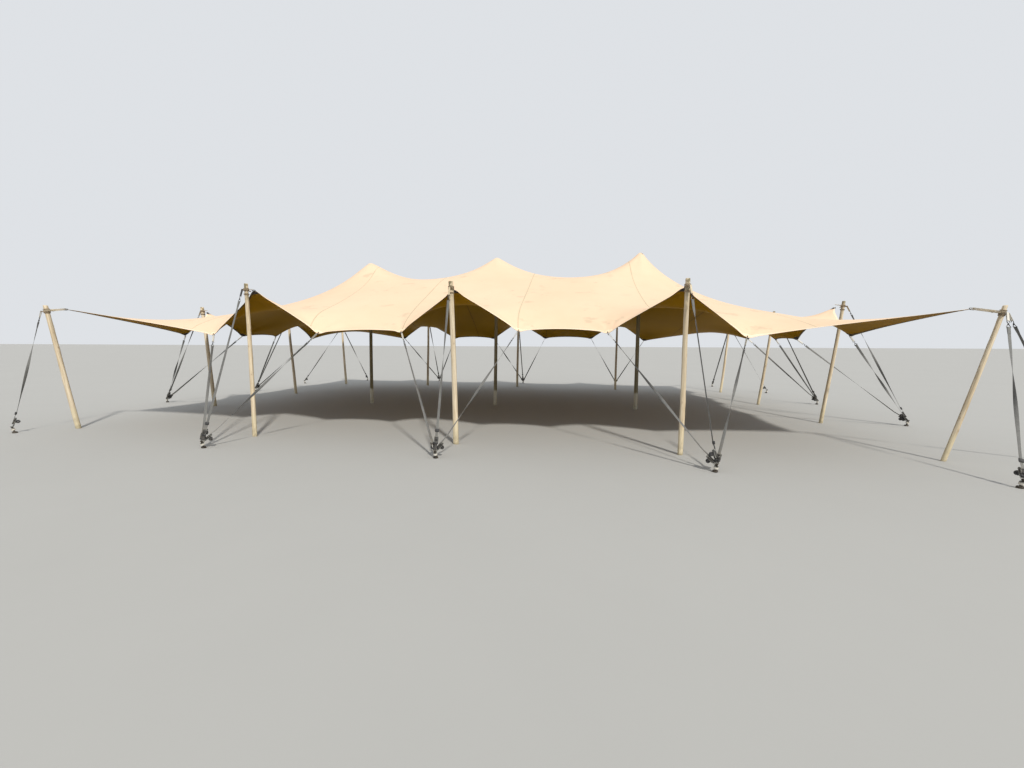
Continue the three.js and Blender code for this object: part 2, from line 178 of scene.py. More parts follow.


# %% [markdown]
# Blender can take a mesh one vertex at a time, but whole arrays are a hundred times quicker:
# `foreach_set` copies an array straight into the mesh. Each piece rides on the tent's one body
# and takes the finishes it is given.


# %% Pieces
def joined_mesh(name, patches, materials, sharp=40.0):
    """One mesh from many patches: points, corners and faces are written as whole arrays."""
    points = np.concatenate([p["points"] for p in patches])
    starts = np.cumsum([0] + [len(p["points"]) for p in patches])
    quads = np.concatenate([p["quads"] + s for p, s in zip(patches, starts)])
    triangles = np.concatenate([p["triangles"] + s for p, s in zip(patches, starts)])
    slots = np.concatenate([np.full(len(p["quads"]), p["slot"]) for p in patches]
                           + [np.full(len(p["triangles"]), p["slot"]) for p in patches])
    corners = np.concatenate([quads.ravel(), triangles.ravel()])
    sizes = np.repeat([4, 3], [len(quads), len(triangles)])
    mesh = bpy.data.meshes.new(name)
    mesh.vertices.add(len(points))
    mesh.vertices.foreach_set("co", points.ravel())
    mesh.loops.add(len(corners))
    mesh.loops.foreach_set("vertex_index", corners)
    mesh.polygons.add(len(sizes))
    mesh.polygons.foreach_set("loop_start", np.concatenate([[0], np.cumsum(sizes)[:-1]]))
    mesh.polygons.foreach_set("material_index", slots)
    mesh.polygons.foreach_set("use_smooth", np.ones(len(sizes), bool))
    uv = np.concatenate([p["uv_quads"].reshape(-1, 2) for p in patches]
                        + [p["uv_triangles"].reshape(-1, 2) for p in patches])
    mesh.uv_layers.new(name="flat").data.foreach_set("uv", uv.ravel())
    for kind in ("grain", "marks"):
        values = np.concatenate([p[kind] for p in patches])
        if values.any():
            mesh.attributes.new(kind, "FLOAT_VECTOR", "POINT").data.foreach_set("vector", values.ravel())
    mesh.update(calc_edges=True)
    mesh.set_sharp_from_angle(angle=np.radians(sharp))
    for material in materials:
        mesh.materials.append(material)
    return mesh


made = {}


def make_piece(name, patches, materials, replaces=(), sharp=40.0):
    """Adds the joined patches to the scene as one piece that rides on the tent."""
    piece = bpy.data.objects.new(name, joined_mesh(name, patches, materials, sharp))
    bpy.context.scene.collection.objects.link(piece)
    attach(piece, "root")
    if replaces:
        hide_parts(*replaces)
    made[name] = len(piece.data.polygons)
    return piece


# %% [markdown]
# A profile carried along a path makes straps, ropes, rings and rods. At each station of the path
# the profile's x runs along one unit vector and its y along another. A strap needs both vectors,
# because it may turn over on its way; a round bar or a rope makes do with one direction that its
# path never takes, and finds the two vectors square to the path by itself.


# %% Carrying a profile along a path
def circle(radius, sides):
    """Points round a circle, as (x, y)."""
    angle = np.arange(sides) * 2 * np.pi / sides
    return radius * np.stack([np.cos(angle), np.sin(angle)], -1)


def strap_section(width, thickness):
    """The section of a woven strap: a flat bar with eased edges, x across and y through it."""
    w, t, e = width / 2, thickness / 2, min(thickness / 2, width / 4) * 0.8
    return np.array([(-w + e, -t), (0, -t), (w - e, -t), (w, -t + e * 0.6), (w, t - e * 0.6),
                     (w - e, t), (0, t), (-w + e, t), (-w, t - e * 0.6), (-w, -t + e * 0.6)])


def carried(section, centres, x_axis, y_axis, **kind):
    """The section at every station: centre + x * x_axis + y * y_axis. A section may change from
    station to station, and then has one more axis."""
    section = np.broadcast_to(section, (len(centres),) + section.shape[-2:])
    points = (centres[:, None] + section[..., :1] * np.broadcast_to(x_axis, centres.shape)[:, None]
              + section[..., 1:] * np.broadcast_to(y_axis, centres.shape)[:, None])
    return tube(points, **kind)


def travel(path, closed=False):
    """Unit vectors along a path, from each point's two neighbours."""
    if closed:
        return unit(np.roll(path, -1, axis=0) - np.roll(path, 1, axis=0))
    return unit(np.gradient(path, axis=0))


def section_axes(path, side, closed):
    """Two unit vectors square to the path. side is any direction that the path never runs along."""
    along = travel(path, closed)
    x_axis = unit(np.cross(along, np.broadcast_to(side, path.shape)))
    return x_axis, np.cross(x_axis, along)


def rod(path, radius, side, sides, slot, closed=False):
    """A round bar along a path: a circle at each station."""
    section = circle(radius, sides)
    return carried(section, path, *section_axes(path, side, closed), closed=closed, slot=slot)


def rope(path, radius, side, turns, slot):
    """Three strands laid together in a closed ring: a section with three lobes, of radius
    0.84 + 0.2 |cos(1.5 angle)|, that makes a third of a turn for each of the turns."""
    angle = np.arange(12) * 2 * np.pi / 12
    lobes = radius * (0.84 + 0.2 * np.abs(np.cos(1.5 * angle)))
    share = np.arange(len(path))[:, None] / len(path)
    turned = angle + 2 * np.pi * turns / 3 * share
    section = lobes[:, None] * np.stack([np.cos(turned), np.sin(turned)], -1)
    return carried(section, path, *section_axes(path, side, True), closed=True, slot=slot)


# %% [markdown]
# Many loops on the tent are belts: the line of a band pulled tight round two circles, like a
# chain round two wheels. A sling round a pole, a shackle, a link and the cheek of a ratchet are
# all belts of different sizes, and a belt needs only its two circles, where a free curve would
# need every point set by hand.


# %% Belts
def belt(near_radius, far_radius, distance, steps):
    """The line of a tight belt round a circle at the origin and another at (distance, 0). It
    leaves each circle where its tangent touches both: at the angle whose cosine is the
    difference of the radii over the distance."""
    touch = np.arccos(np.clip((near_radius - far_radius) / distance, -1, 1))
    near = np.linspace(touch, 2 * np.pi - touch, steps)
    far = np.linspace(-touch, touch, steps)
    sides = np.linspace(0, 1, steps + 2)[1:-1, None]
    round_near = near_radius * np.stack([np.cos(near), np.sin(near)], -1)
    round_far = far_radius * np.stack([np.cos(far), np.sin(far)], -1) + (distance, 0)
    there = round_near[-1] * (1 - sides) + round_far[0] * sides
    back = round_far[-1] * (1 - sides) + round_near[0] * sides
    return np.concatenate([round_near, there, round_far, back])


def belt_path(near, far, near_radius, far_radius, axis, steps):
    """A belt round two places in space, in the plane square to the axis, and its outward side."""
    axis, near, far = unit(axis), np.asarray(near, float), np.asarray(far, float)
    run = far - near
    run = run - axis * (run @ axis)
    flat = belt(near_radius, far_radius, np.linalg.norm(run), steps)
    ahead = unit(run)
    aside = np.cross(axis, ahead)
    path = near + flat[:, :1] * ahead + flat[:, 1:] * aside
    along = travel(path, closed=True)
    return path, np.cross(along, axis)


def webbing_loop(near, far, near_radius, far_radius, axis, width, thickness, slot):
    """A sewn loop of webbing round two things, its width along the axis."""
    path, out = belt_path(near, far, near_radius, far_radius, axis, 8)
    return carried(strap_section(width, thickness), path, unit(axis), out, closed=True, slot=slot)


def link(near, far, radius, axis, wire, slot, steps=6, sides=8):
    """A closed link, ring or shackle of round bar."""
    path, out = belt_path(near, far, radius, radius, axis, steps)
    return carried(circle(wire, sides), path, unit(axis), out, closed=True, slot=slot)


def cheek(near, far, near_radius, far_radius, axis, thickness, slot):
    """A flat plate with the outline of a belt and a small chamfer on both faces."""
    path, _ = belt_path(near, far, near_radius, far_radius, axis, 6)
    middle = path.mean(axis=0)
    depth = np.array([-0.5, -0.25, 0.25, 0.5])[:, None, None] * thickness
    size = np.array([0.96, 1, 1, 0.96])[:, None, None]
    return tube(middle + (path - middle) * size + depth * unit(axis), slot=slot)


# %% [markdown]
# ## The named places
# The feet and heads of the poles, the points of the rim that hang from them, the low points
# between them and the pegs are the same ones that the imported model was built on. `node` is a
# pole's place in the net of the next cells, as its column and row, and `girth` scales its radius.

# %% Poles, rim points and pegs
COLUMNS, ROWS, LOW_STEP = 44, 30, 3
EDGE_POLES = {
    "front_left": dict(foot=(-7.45, -4.40), head=(-7.63, -4.60, 2.35), eave=(-7.32, -4.50, 2.28),
                       node=(0, 0), girth=0.92, pegs=[(-8.10, -4.93)]),
    "front_1": dict(foot=(-3.58, -4.47), head=(-3.50, -4.57, 2.69), eave=(-3.40, -4.51, 2.57), node=(11, 0),
                    lows=[(-4.32, -4.43, 1.82), (-2.30, -4.43, 1.85)], girth=0.8, pegs=[(-3.76, -5.34)]),
    "front_2": dict(foot=(0.15, -4.44), head=(0.13, -4.59, 2.67), eave=(0.15, -4.51, 2.54), node=(22, 0),
                    lows=[(-0.78, -4.43, 1.87), (1.19, -4.43, 1.89)], girth=1, pegs=[(0.09, -5.32)]),
    "front_3": dict(foot=(3.73, -4.55), head=(3.69, -4.70, 2.64), eave=(3.67, -4.61, 2.51), node=(33, 0),
                    lows=[(2.61, -4.43, 1.86), (4.64, -4.43, 1.80)], girth=0.88, pegs=[(3.97, -5.38)]),
    "front_right": dict(foot=(7.49, -4.30), head=(7.87, -4.50, 2.24), eave=(7.53, -4.43, 2.20),
                        node=(44, 0), girth=0.66, pegs=[(7.39, -5.47), (9.28, -4.23)]),
    "right_1": dict(foot=(7.44, -1.35), head=(7.70, -1.35, 2.61), eave=(7.50, -1.38, 2.46), node=(44, 10),
                    lows=[(7.38, -2.18, 1.86), (7.38, -0.28, 1.81)], girth=0.78, pegs=[(9.05, -1.41)]),
    "right_2": dict(foot=(7.29, 1.36), head=(7.55, 1.36, 2.60), eave=(7.36, 1.42, 2.44), node=(44, 20),
                    lows=[(7.38, 0.77, 1.81), (7.35, 2.42, 1.84)], girth=0.8, pegs=[(8.98, 1.70)]),
    "back_right": dict(foot=(7.28, 4.33), head=(7.52, 4.51, 2.32), eave=(7.20, 4.29, 2.18),
                       node=(44, 30), girth=0.85, pegs=[(8.80, 4.40), (7.65, 6.37)]),
    "back_3": dict(foot=(3.68, 4.57), head=(3.70, 4.77, 2.63), eave=(3.69, 4.64, 2.48), node=(33, 30),
                   lows=[(2.76, 4.62, 1.87), (4.64, 4.59, 1.80)], girth=0.88, pegs=[(3.90, 6.60)]),
    "back_2": dict(foot=(-0.02, 4.87), head=(-0.02, 5.07, 2.65), eave=(-0.01, 4.93, 2.50), node=(22, 30),
                   lows=[(-0.90, 4.67, 1.86), (1.05, 4.67, 1.87)], girth=0.95, pegs=[(0.04, 6.33)]),
    "back_1": dict(foot=(-3.61, 4.77), head=(-3.61, 4.95, 2.65), eave=(-3.60, 4.81, 2.50), node=(11, 30),
                   lows=[(-4.49, 4.67, 1.85), (-2.45, 4.67, 1.86)], girth=1, pegs=[(-3.73, 6.60)]),
    "back_left": dict(foot=(-7.03, 4.64), head=(-7.24, 4.83, 2.36), eave=(-6.93, 4.56, 2.23),
                      node=(0, 30), girth=0.95, pegs=[(-6.97, 6.32), (-8.80, 4.57)]),
    "left_2": dict(foot=(-6.97, 1.42), head=(-7.19, 1.51, 2.48), eave=(-7.04, 1.55, 2.32), node=(0, 20),
                   lows=[(-7.10, 0.77, 1.86), (-7.07, 2.52, 1.80)], girth=0.95, pegs=[(-8.72, 1.77)]),
    "left_1": dict(foot=(-7.26, -1.45), head=(-7.45, -1.45, 2.58), eave=(-7.28, -1.46, 2.43), node=(0, 10),
                   lows=[(-7.14, -2.27, 1.85), (-7.14, -0.53, 1.85)], girth=1, pegs=[(-9.12, -1.06)]),
}
CENTRE_POLES = {
    "centre_1": dict(foot=(-3.47, -0.22), peak=(-3.41, -0.22, 3.83), node=(11, 15), girth=1, bending=0.8),
    "centre_2": dict(foot=(0.0, 0.0), peak=(0.05, 0.0, 3.94), node=(22, 15), girth=1, bending=0.55),
    "centre_3": dict(foot=(3.72, -0.06), peak=(3.73, -0.06, 3.97), node=(33, 15), girth=1.1, bending=0.35),
}


def rim_pins():
    """{(column, row) in the net: place} for the eaves and for the low points on either side."""
    pins = {}
    for pole in EDGE_POLES.values():
        i, j = pole["node"]
        pins[i, j] = pole["eave"]
        step = (LOW_STEP, 0) if j in (0, ROWS) else (0, LOW_STEP)
        for side, low in zip((-1, 1), pole.get("lows", ())):
            pins[i + side * step[0], j + side * step[1]] = low
    return pins


print(len(EDGE_POLES) + len(CENTRE_POLES), "poles,", len(rim_pins()), "points on the rim,",
      sum(len(pole["pegs"]) for pole in EDGE_POLES.values()), "pegs")

# %% [markdown]
# ## The shape of the stretched sheet
# A stretched sheet can't be drawn by hand: it settles where its pull is in balance. Here it is a
# net of points with links that pull neighbours together, and a little bending stiffness that
# rounds the peaks. At the poles and low points the net is pinned. Balance of all the other
# points is one set of linear equations, so numpy finds the shape in a single step. The hem is
# pulled tighter than the cloth, most of all from each corner to its first low point.

# %% Solving the net
FINER = 2
TENSION, HEM_TENSION, CORNER_HEM_TENSION, BENDING, PEAK_REACH = 1.0, 6.0, 24.0, 1.7, 1.1
CORNER_SPAN_X, CORNER_SPAN_Y = 8, 7


def bending_shares():
    """How stiff the sheet still is at each point of the net: less and less towards the peaks."""
    j, i = np.mgrid[0:ROWS * FINER + 1, 0:COLUMNS * FINER + 1] / FINER
    share = np.ones(i.shape)
    for pole in CENTRE_POLES.values():
        far = ((i - pole["node"][0]) ** 2 + (j - pole["node"][1]) ** 2) / PEAK_REACH**2
        share = np.minimum(share, 1 - (1 - pole["bending"]) * np.exp(-far))
    return share


def hem_tension(steps, corner_span):
    """The hem's tension link by link: tautest from each corner to the first low point. Half a step
    of plain fabric lies beside it, which a finer net leaves out."""
    middle = (np.arange(steps * FINER) + 0.5) / FINER
    corner = np.minimum(middle, steps - middle) < corner_span
    return 0.5 + (np.where(corner, CORNER_HEM_TENSION, HEM_TENSION) - 0.5) * FINER


def solve_net():
    """Places of all net points. Each link adds stiffness * (a - b) to the pull on a, each bend
    adds stiffness * (a - 2 b + c) to the force on a, -2 b and c, and free points feel no force."""
    index = np.arange((ROWS * FINER + 1) * (COLUMNS * FINER + 1)).reshape(ROWS * FINER + 1, -1)
    matrix = np.zeros((index.size, index.size))

    def couple(members, weights, stiffness):
        stiffness = np.broadcast_to(stiffness, members[0].shape).ravel()
        members = [m.ravel() for m in members]
        for p, wp in zip(members, weights):
            for q, wq in zip(members, weights):
                np.add.at(matrix, (p, q), stiffness * wp * wq)

    inner, ends = slice(1, -1), [0, -1]
    couple((index[inner, :-1], index[inner, 1:]), (1, -1), TENSION)
    couple((index[:-1, inner], index[1:, inner]), (1, -1), TENSION)
    couple((index[ends, :-1], index[ends, 1:]), (1, -1), hem_tension(COLUMNS, CORNER_SPAN_X))
    couple((index[:-1, ends], index[1:, ends]), (1, -1), hem_tension(ROWS, CORNER_SPAN_Y)[:, None])
    bend = (BENDING * FINER**2 * bending_shares())[inner, inner]
    couple((index[inner, :-2], index[inner, inner], index[inner, 2:]), (1, -2, 1), bend)
    couple((index[:-2, inner], index[inner, inner], index[2:, inner]), (1, -2, 1), bend)

    pins = {**rim_pins(), **{pole["node"]: pole["peak"] for pole in CENTRE_POLES.values()}}
    fixed = np.array([index[j * FINER, i * FINER] for i, j in pins])
    places = np.zeros((index.size, 3))
    places[fixed] = list(pins.values())
    free = np.setdiff1d(index, fixed)
    pull = -matrix[np.ix_(free, fixed)] @ places[fixed]
    places[free] = np.linalg.solve(matrix[np.ix_(free, free)], pull)
    return places.reshape(index.shape + (3,))


net = solve_net()
print("net of", net.shape[1], "x", net.shape[0], "points, lowest", round(net[..., 2].min(), 3), "m")

# %% [markdown]
# ## Any point of the sheet
# The hem, the seams, the patches and the rings all sit on the sheet, so one function gives the
# sheet's place and its outward side anywhere, not only at the net's points. Between net points
# it blends the sixteen nearest ones smoothly. Small folds are then added where the fabric is
# gathered: they fan out from each pinned point, rise with the distance and die away again.

# %% A smooth function of the net
SHEET, SHEET_THICKNESS = (15.0, 9.6), 0.0024
framed_net = np.pad(net, ((1, 1), (1, 1), (0, 0)), mode="reflect", reflect_type="odd")


def four_weights(t):
    """Catmull-Rom: how much four points in a row count at t between the middle two."""
    return np.stack([-t + 2 * t**2 - t**3, 2 - 5 * t**2 + 3 * t**3,
                     t + 4 * t**2 - 3 * t**3, t**3 - t**2], -1) / 2


def smooth_net(i, j):
    """The sheet without its small folds, at net coordinates."""
    u, v = np.broadcast_arrays(np.asarray(i) * float(FINER), np.asarray(j) * float(FINER))
    column = np.clip(np.floor(u).astype(int), 0, COLUMNS * FINER - 1)
    row = np.clip(np.floor(v).astype(int), 0, ROWS * FINER - 1)
    across, along = four_weights(u - column), four_weights(v - row)
    return sum(along[..., m, None] * across[..., n, None] * framed_net[row + m, column + n]
               for m in range(4) for n in range(4))


def net_steps(i, j, h=0.05):
    """How far the sheet moves for one net step along i and along j."""
    return ((smooth_net(i + h, j) - smooth_net(i - h, j)) / (2 * h),
            (smooth_net(i, j + h) - smooth_net(i, j - h)) / (2 * h))


def flat_place(i, j):
    """Where a net point lies on the sheet before it was stretched, in metres."""
    i, j = np.broadcast_arrays(np.asarray(i) * SHEET[0] / COLUMNS, np.asarray(j) * SHEET[1] / ROWS)
    return np.stack([i, j], -1)


EAVE_NODES = {pole["node"] for pole in EDGE_POLES.values()}
FOLDS = []
for count, node in enumerate(rim_pins()):
    small, large = (0.0045, 0.004) if node in EAVE_NODES else (0.007, 0.006)
    FOLDS += [(node, small, 0.16, 8, 2.4 * count), (node, large, 0.45, 5, 2.4 * count + 1)]
for count, pole in enumerate(CENTRE_POLES.values()):
    FOLDS += [(pole["node"], 0.004, 0.30, 9, 1.3 * count), (pole["node"], 0.006, 0.75, 7, 2.1 * count)]


def fold_height(i, j):
    """Each fan of folds has a node, a size, a reach, a count and a turn, and adds
    size * (r / reach) * exp(1 - r / reach) * cos(count * angle + turn)."""
    flat, height = flat_place(i, j), 0.0
    for node, size, reach, count, turn in FOLDS:
        x, y = np.moveaxis(flat - flat_place(*node), -1, 0)
        r = np.hypot(x, y) / reach
        height = height + size * r * np.exp(1 - r) * np.cos(count * np.arctan2(y, x) + turn)
    return height


def sheet_point(i, j):
    """The middle of the fabric and its outward side at net coordinates."""
    along_i, along_j = net_steps(i, j)
    side = unit(np.cross(along_i, along_j))
    return smooth_net(i, j) + side * fold_height(i, j)[..., None], side


# %% [markdown]
# ## Light
# In the picture the shadows of the poles and of the canopy run back and to the left, about as long
# as things are tall, so the sun stood half way up, to the front and right. One soft sun and a pale
# sky do the same here: lamps near the tent would show in views from other sides.

# %% Light
scene = bpy.context.scene
SUN_FROM, SUN_SIZE = unit((0.52, -0.90, 1.0)), np.radians(4)
SUN_STRENGTH, SUN_COLOUR = 3.4, (1.0, 0.955, 0.88)
SKY_STRENGTH, SKY_COLOUR = 0.79, (0.93, 0.96, 1.0, 1)


def make_sun():
    """A sun whose rays come from SUN_FROM: its Z axis points back to where they come from."""
    data = bpy.data.lights.new("sun", "SUN")
    data.energy, data.angle, data.color = SUN_STRENGTH, SUN_SIZE, SUN_COLOUR
    sun = bpy.data.objects.new("sun", data)
    scene.collection.objects.link(sun)
    x_axis = unit(np.cross((0, 1, 0), SUN_FROM))
    turn = np.eye(4)
    turn[:3, 0], turn[:3, 1], turn[:3, 2] = x_axis, np.cross(SUN_FROM, x_axis), SUN_FROM
    sun.matrix_world = Matrix(turn)


def make_sky():
    """An even, slightly blue sky."""
    scene.world = bpy.data.worlds.new("sky")
    scene.world.use_nodes = True
    sky = scene.world.node_tree.nodes["Background"]
    sky.inputs["Color"].default_value = SKY_COLOUR
    sky.inputs["Strength"].default_value = SKY_STRENGTH


make_sun()
make_sky()
scene.view_settings.view_transform = "Standard"
print("sun from", SUN_FROM.round(2), "strength", SUN_STRENGTH, "sky", SKY_STRENGTH)

# %% [markdown]
# ## Material helpers
# A material is a small network of nodes. `Nodes` keeps the writing short: it adds a node, sets
# its options, and links or fills its inputs. A colour is written as three numbers, and `fill`
# adds the fourth, its opacity, where a socket wants one.


# %% Building node networks
def fill(tree, socket, value):
    """Links a socket to another, or sets it to a plain value."""
    if isinstance(value, bpy.types.NodeSocket):
        tree.links.new(value, socket)
    elif isinstance(value, tuple) and len(value) < len(socket.default_value):
        socket.default_value = (*value, 1)
    else:
        socket.default_value = value


class Nodes:
    """Adds nodes to one tree. Inputs are given as sockets or as plain values."""

    def __init__(self, tree):
        self.tree = tree

    def add(self, kind, inputs=None, **options):
        node = self.tree.nodes.new("ShaderNode" + kind)
        for option, value in options.items():
            setattr(node, option, value)
        for key, value in (inputs or {}).items():
            fill(self.tree, node.inputs[key], value)
        return node

    def maths(self, operation, *values):
        return self.add("Math", dict(enumerate(values)), operation=operation).outputs[0]

    def times(self, a, b):
        return self.maths("MULTIPLY", a, b)

    def plus(self, a, b):
        return self.maths("ADD", a, b)

    def minus(self, a, b):
        return self.maths("SUBTRACT", a, b)

    def scaled(self, place, factors):
        return self.add("VectorMath", {0: place, 1: factors}, operation="MULTIPLY").outputs[0]

    def parts(self, vector):
        return self.add("SeparateXYZ", {0: vector}).outputs

    def noise(self, place, scale, detail, roughness=0.55):
        return self.add("TexNoise", {"Vector": place, "Scale": scale, "Detail": detail,
                                     "Roughness": roughness}).outputs["Fac"]

    def ramp(self, value, low, high):
        """0 at low, 1 at high and a smooth change between them; low may be the larger."""
        return self.add("MapRange", {"Value": value, "From Min": low, "From Max": high},
                        interpolation_type="SMOOTHSTEP").outputs["Result"]

    def mix(self, share, first, second):
        """A colour between two: 6 and 7 are the colour sockets of a Mix node."""
        return self.add("Mix", {0: share, 6: first, 7: second}, data_type="RGBA").outputs[2]

    def bump(self, height, distance, strength):
        inputs = {"Height": height, "Distance": distance, "Strength": strength}
        return self.add("Bump", inputs).outputs["Normal"]

    def group(self, group, **inputs):
        """The first output of a node group."""
        return self.add("Group", inputs, node_tree=group).outputs[0]

    def place(self):
        """The place in space, which stays with the piece."""
        return self.add("TexCoord").outputs["Object"]

    def flat(self):
        """The place on the piece's own map, in metres."""
        return self.add("UVMap", uv_map="flat").outputs["UV"]

    def height(self):
        return self.parts(self.place())[2]


# %% [markdown]
# ## Shared effects
# Weave, stitching, clouds of colour and dust appear in several finishes. Each is a node group
# with named inputs and one output, a number that changes over the surface, so that a material
# gives it its own sizes and decides what it does: colour, roughness or relief.


# %% Node groups
def new_group(name, output, **inputs):
    """An empty node group with its sockets, and the helper that fills it. An input is a plain
    number with its usual value, or None for a place."""
    tree = bpy.data.node_groups.new(name, "ShaderNodeTree")
    for socket, value in inputs.items():
        kind = "NodeSocketVector" if value is None else "NodeSocketFloat"
        made_socket = tree.interface.new_socket(name=socket, in_out="INPUT", socket_type=kind)
        if value is not None:
            made_socket.default_value = value
    tree.interface.new_socket(name=output, in_out="OUTPUT", socket_type="NodeSocketFloat")
    return tree, Nodes(tree), tree.nodes.new("NodeGroupInput").outputs


def end_group(tree, value):
    """Links the group's result to its output."""
    tree.links.new(value, tree.nodes.new("NodeGroupOutput").inputs[0])
    return tree


def weave_group():
    """Two sets of threads that cross: height is the higher of two rounded ribs, each one rising
    and falling against the other along the cloth."""
    tree, n, given = new_group("weave", "Height", Place=None, Pitch=0.002)
    repeats = n.maths("DIVIDE", 2 * np.pi, given["Pitch"])
    spread = n.add("VectorMath", {0: given["Place"], "Scale": repeats}, operation="SCALE").outputs[0]
    threads = n.parts(spread)
    warp, weft = n.maths("SINE", threads[0]), n.maths("SINE", threads[1])
    rib = n.maths("MAXIMUM", n.maths("ABSOLUTE", warp), n.maths("ABSOLUTE", weft))
    return end_group(tree, n.plus(n.times(rib, 0.6), n.times(n.times(warp, weft), 0.4)))


def stitch_group():
    """A row of thread stitches along v at a given u: each stitch is a short rounded bar."""
    tree, n, given = new_group("stitches", "Mask", Place=None, Line=0.01, Width=0.0016, Pitch=0.006)
    place = n.parts(given["Place"])
    away = n.maths("ABSOLUTE", n.minus(place[0], given["Line"]))
    thread = n.ramp(n.maths("DIVIDE", away, given["Width"]), 1.0, 0.5)
    step = n.maths("FRACT", n.maths("DIVIDE", place[1], given["Pitch"]))
    length = n.ramp(n.maths("ABSOLUTE", n.minus(step, 0.5)), 0.4, 0.3)
    return end_group(tree, n.times(thread, length))


def clouds_group():
    """Slow changes of tone over a surface: two sizes of noise added together, from 0 to 1."""
    tree, n, given = new_group("clouds", "Tone", Place=None, Size=1.0, Contrast=1.0)
    scale = n.maths("DIVIDE", 1.0, given["Size"])
    large = n.noise(given["Place"], scale, 2.0)
    small = n.noise(given["Place"], n.times(scale, 5.3), 4.0)
    tone = n.plus(n.times(large, 0.65), n.times(small, 0.35))
    spread = n.times(n.minus(tone, 0.5), n.times(given["Contrast"], 2.2))
    return end_group(tree, n.add("Clamp", {"Value": n.plus(spread, 0.5)}).outputs[0])


def dust_group():
    """Soil that splashes up from the ground: strongest at the floor, gone at Reach, and patchy."""
    tree, n, given = new_group("dust", "Mask", Place=None, Reach=0.4)
    low = n.ramp(n.parts(given["Place"])[2], given["Reach"], 0.0)
    return end_group(tree, n.times(low, n.ramp(n.noise(given["Place"], 14.0, 5.0), 0.35, 0.62)))


WEAVE, STITCHES, CLOUDS, DUST = weave_group(), stitch_group(), clouds_group(), dust_group()


def new_material(name):
    """A material, its node helper and its Principled shader."""
    material = bpy.data.materials.new(name)
    material.use_nodes = True
    return material, Nodes(material.node_tree), material.node_tree.nodes["Principled BSDF"]


def set_shader(nodes, shader, **values):
    """Links or sets the shader's inputs; words in a name are joined by an underscore."""
    for key, value in values.items():
        fill(nodes.tree, shader.inputs[key.replace("_", " ")], value)


print("shared effects:", ", ".join(group.name for group in (WEAVE, STITCHES, CLOUDS, DUST)))

# %% [markdown]
# ## Fabric
# The sheet is knitted elastane with a smooth waterproof coat: cream on top. Its underside is
# given a very dark, olive ochre brown, which is painted shade: it lies where only light that comes
# through the cloth and up from the floor reaches it. A thin cloth lets some light through, so each
# side mixes a Translucent shader into the Principled one.


# %% Fabric materials
def fabric_material(name, light, deep, share, glow, roughness, shine, stain):
    """Cream or ochre cloth: clouds of tone, faint stains and smears, a fine weave, and a share of
    light that passes through it in the colour glow. shine is the strength of its reflections."""
    material, n, shader = new_material(name)
    place, flat = n.place(), n.flat()
    tone = n.group(CLOUDS, Place=place, Size=1.7, Contrast=1.0)
    colour = n.mix(tone, deep, light)
    marks = n.ramp(n.noise(place, 1.15, 6.0, 0.62), 0.62, 0.78)
    smears = n.noise(n.scaled(place, (1.0, 1.0, 2.5)), 2.3, 4.0, 0.6)
    marks = n.maths("MAXIMUM", marks, n.ramp(smears, 0.61, 0.69))
    soiled = (0.37 * deep[0], 0.55 * deep[1], 0.56 * deep[2])
    colour = n.mix(n.times(marks, stain), colour, soiled)
    weave = n.group(WEAVE, Place=flat, Pitch=0.0016)
    ripple = n.noise(place, 26.0, 3.0)
    height = n.plus(n.times(weave, 0.12), ripple)
    normal = n.bump(height, 0.0012, 0.5)
    rough = n.plus(roughness - 0.06, n.times(tone, 0.12))
    set_shader(n, shader, Base_Color=colour, Roughness=rough, Normal=normal)
    shader.inputs["Specular IOR Level"].default_value = shine
    glow = n.mix(tone, tuple(0.86 * c for c in glow), glow)
    through = n.add("BsdfTranslucent", {"Color": glow, "Normal": normal})
    both = n.add("MixShader", {0: share, 1: shader.outputs[0], 2: through.outputs[0]})
    n.tree.links.new(both.outputs[0], n.tree.nodes["Material Output"].inputs["Surface"])
    return material


fabric_top = fabric_material("fabric_top", (0.795, 0.593, 0.425), (0.73, 0.535, 0.367), share=0.09,
                             glow=(0.84, 0.63, 0.16), roughness=0.70, shine=0.35, stain=0.28)
# The underside's colours are painted shade: far darker and more olive than the cloth on top.
fabric_under_painted_shade = fabric_material("fabric_under_painted_shade", (0.070, 0.048, 0.003), (0.045, 0.031, 0.002), share=0.59,
                               glow=(0.84, 0.64, 0.13), roughness=0.40, shine=0.05, stain=0.2)
print("cloth:", fabric_top.name, "and", fabric_under_painted_shade.name)

# %% [markdown]
# ## The canopy
# The grid is closer where the folds are, near the pinned rows and columns. A Solidify modifier
# gives the sheet its thickness and its other face the underside's colour, which is painted shade.


# %% Canopy
def crowded(span, count, crowds, width, extra):
    """count + 1 values from 0 to span, closer together near the crowds: the running total of a
    density 1 + extra * exp(-(distance / width) ** 2) is cut into equal parts."""
    fine = np.linspace(0, span, 4001)
    density = 1 + extra * np.exp(-(((fine[:, None] - np.array(crowds)) / width) ** 2)).max(axis=1)
    total = np.concatenate([[0], np.cumsum((density[1:] + density[:-1]) / 2)])
    values = np.interp(np.linspace(0, total[-1], count + 1), total, fine)
    values[0], values[-1] = 0, span
    return values


sheet_i = crowded(COLUMNS, 238, (0, 8, 11, 14, 19, 22, 25, 30, 33, 36, 44), 0.8, 1.6)
sheet_j = crowded(ROWS, 176, (0, 7, 10, 13, 15, 17, 20, 23, 30), 1.1, 1.6)
sheet_grid, sheet_sides = sheet_point(*np.meshgrid(sheet_i, sheet_j))


def sheet_patch():
    """The middle of the sheet as one open grid, mapped by its flat place."""
    faces = grid_faces(*sheet_grid.shape[:2])
    uv = flat_place(*np.meshgrid(sheet_i, sheet_j)).reshape(-1, 2)
    nothing = np.zeros((len(uv), 3))
    return dict(points=sheet_grid.reshape(-1, 3), quads=faces, triangles=NO_TRIANGLES, uv_quads=uv[faces],
                uv_triangles=NO_TRIANGLE_MAP, slot=0, grain=nothing, marks=nothing)


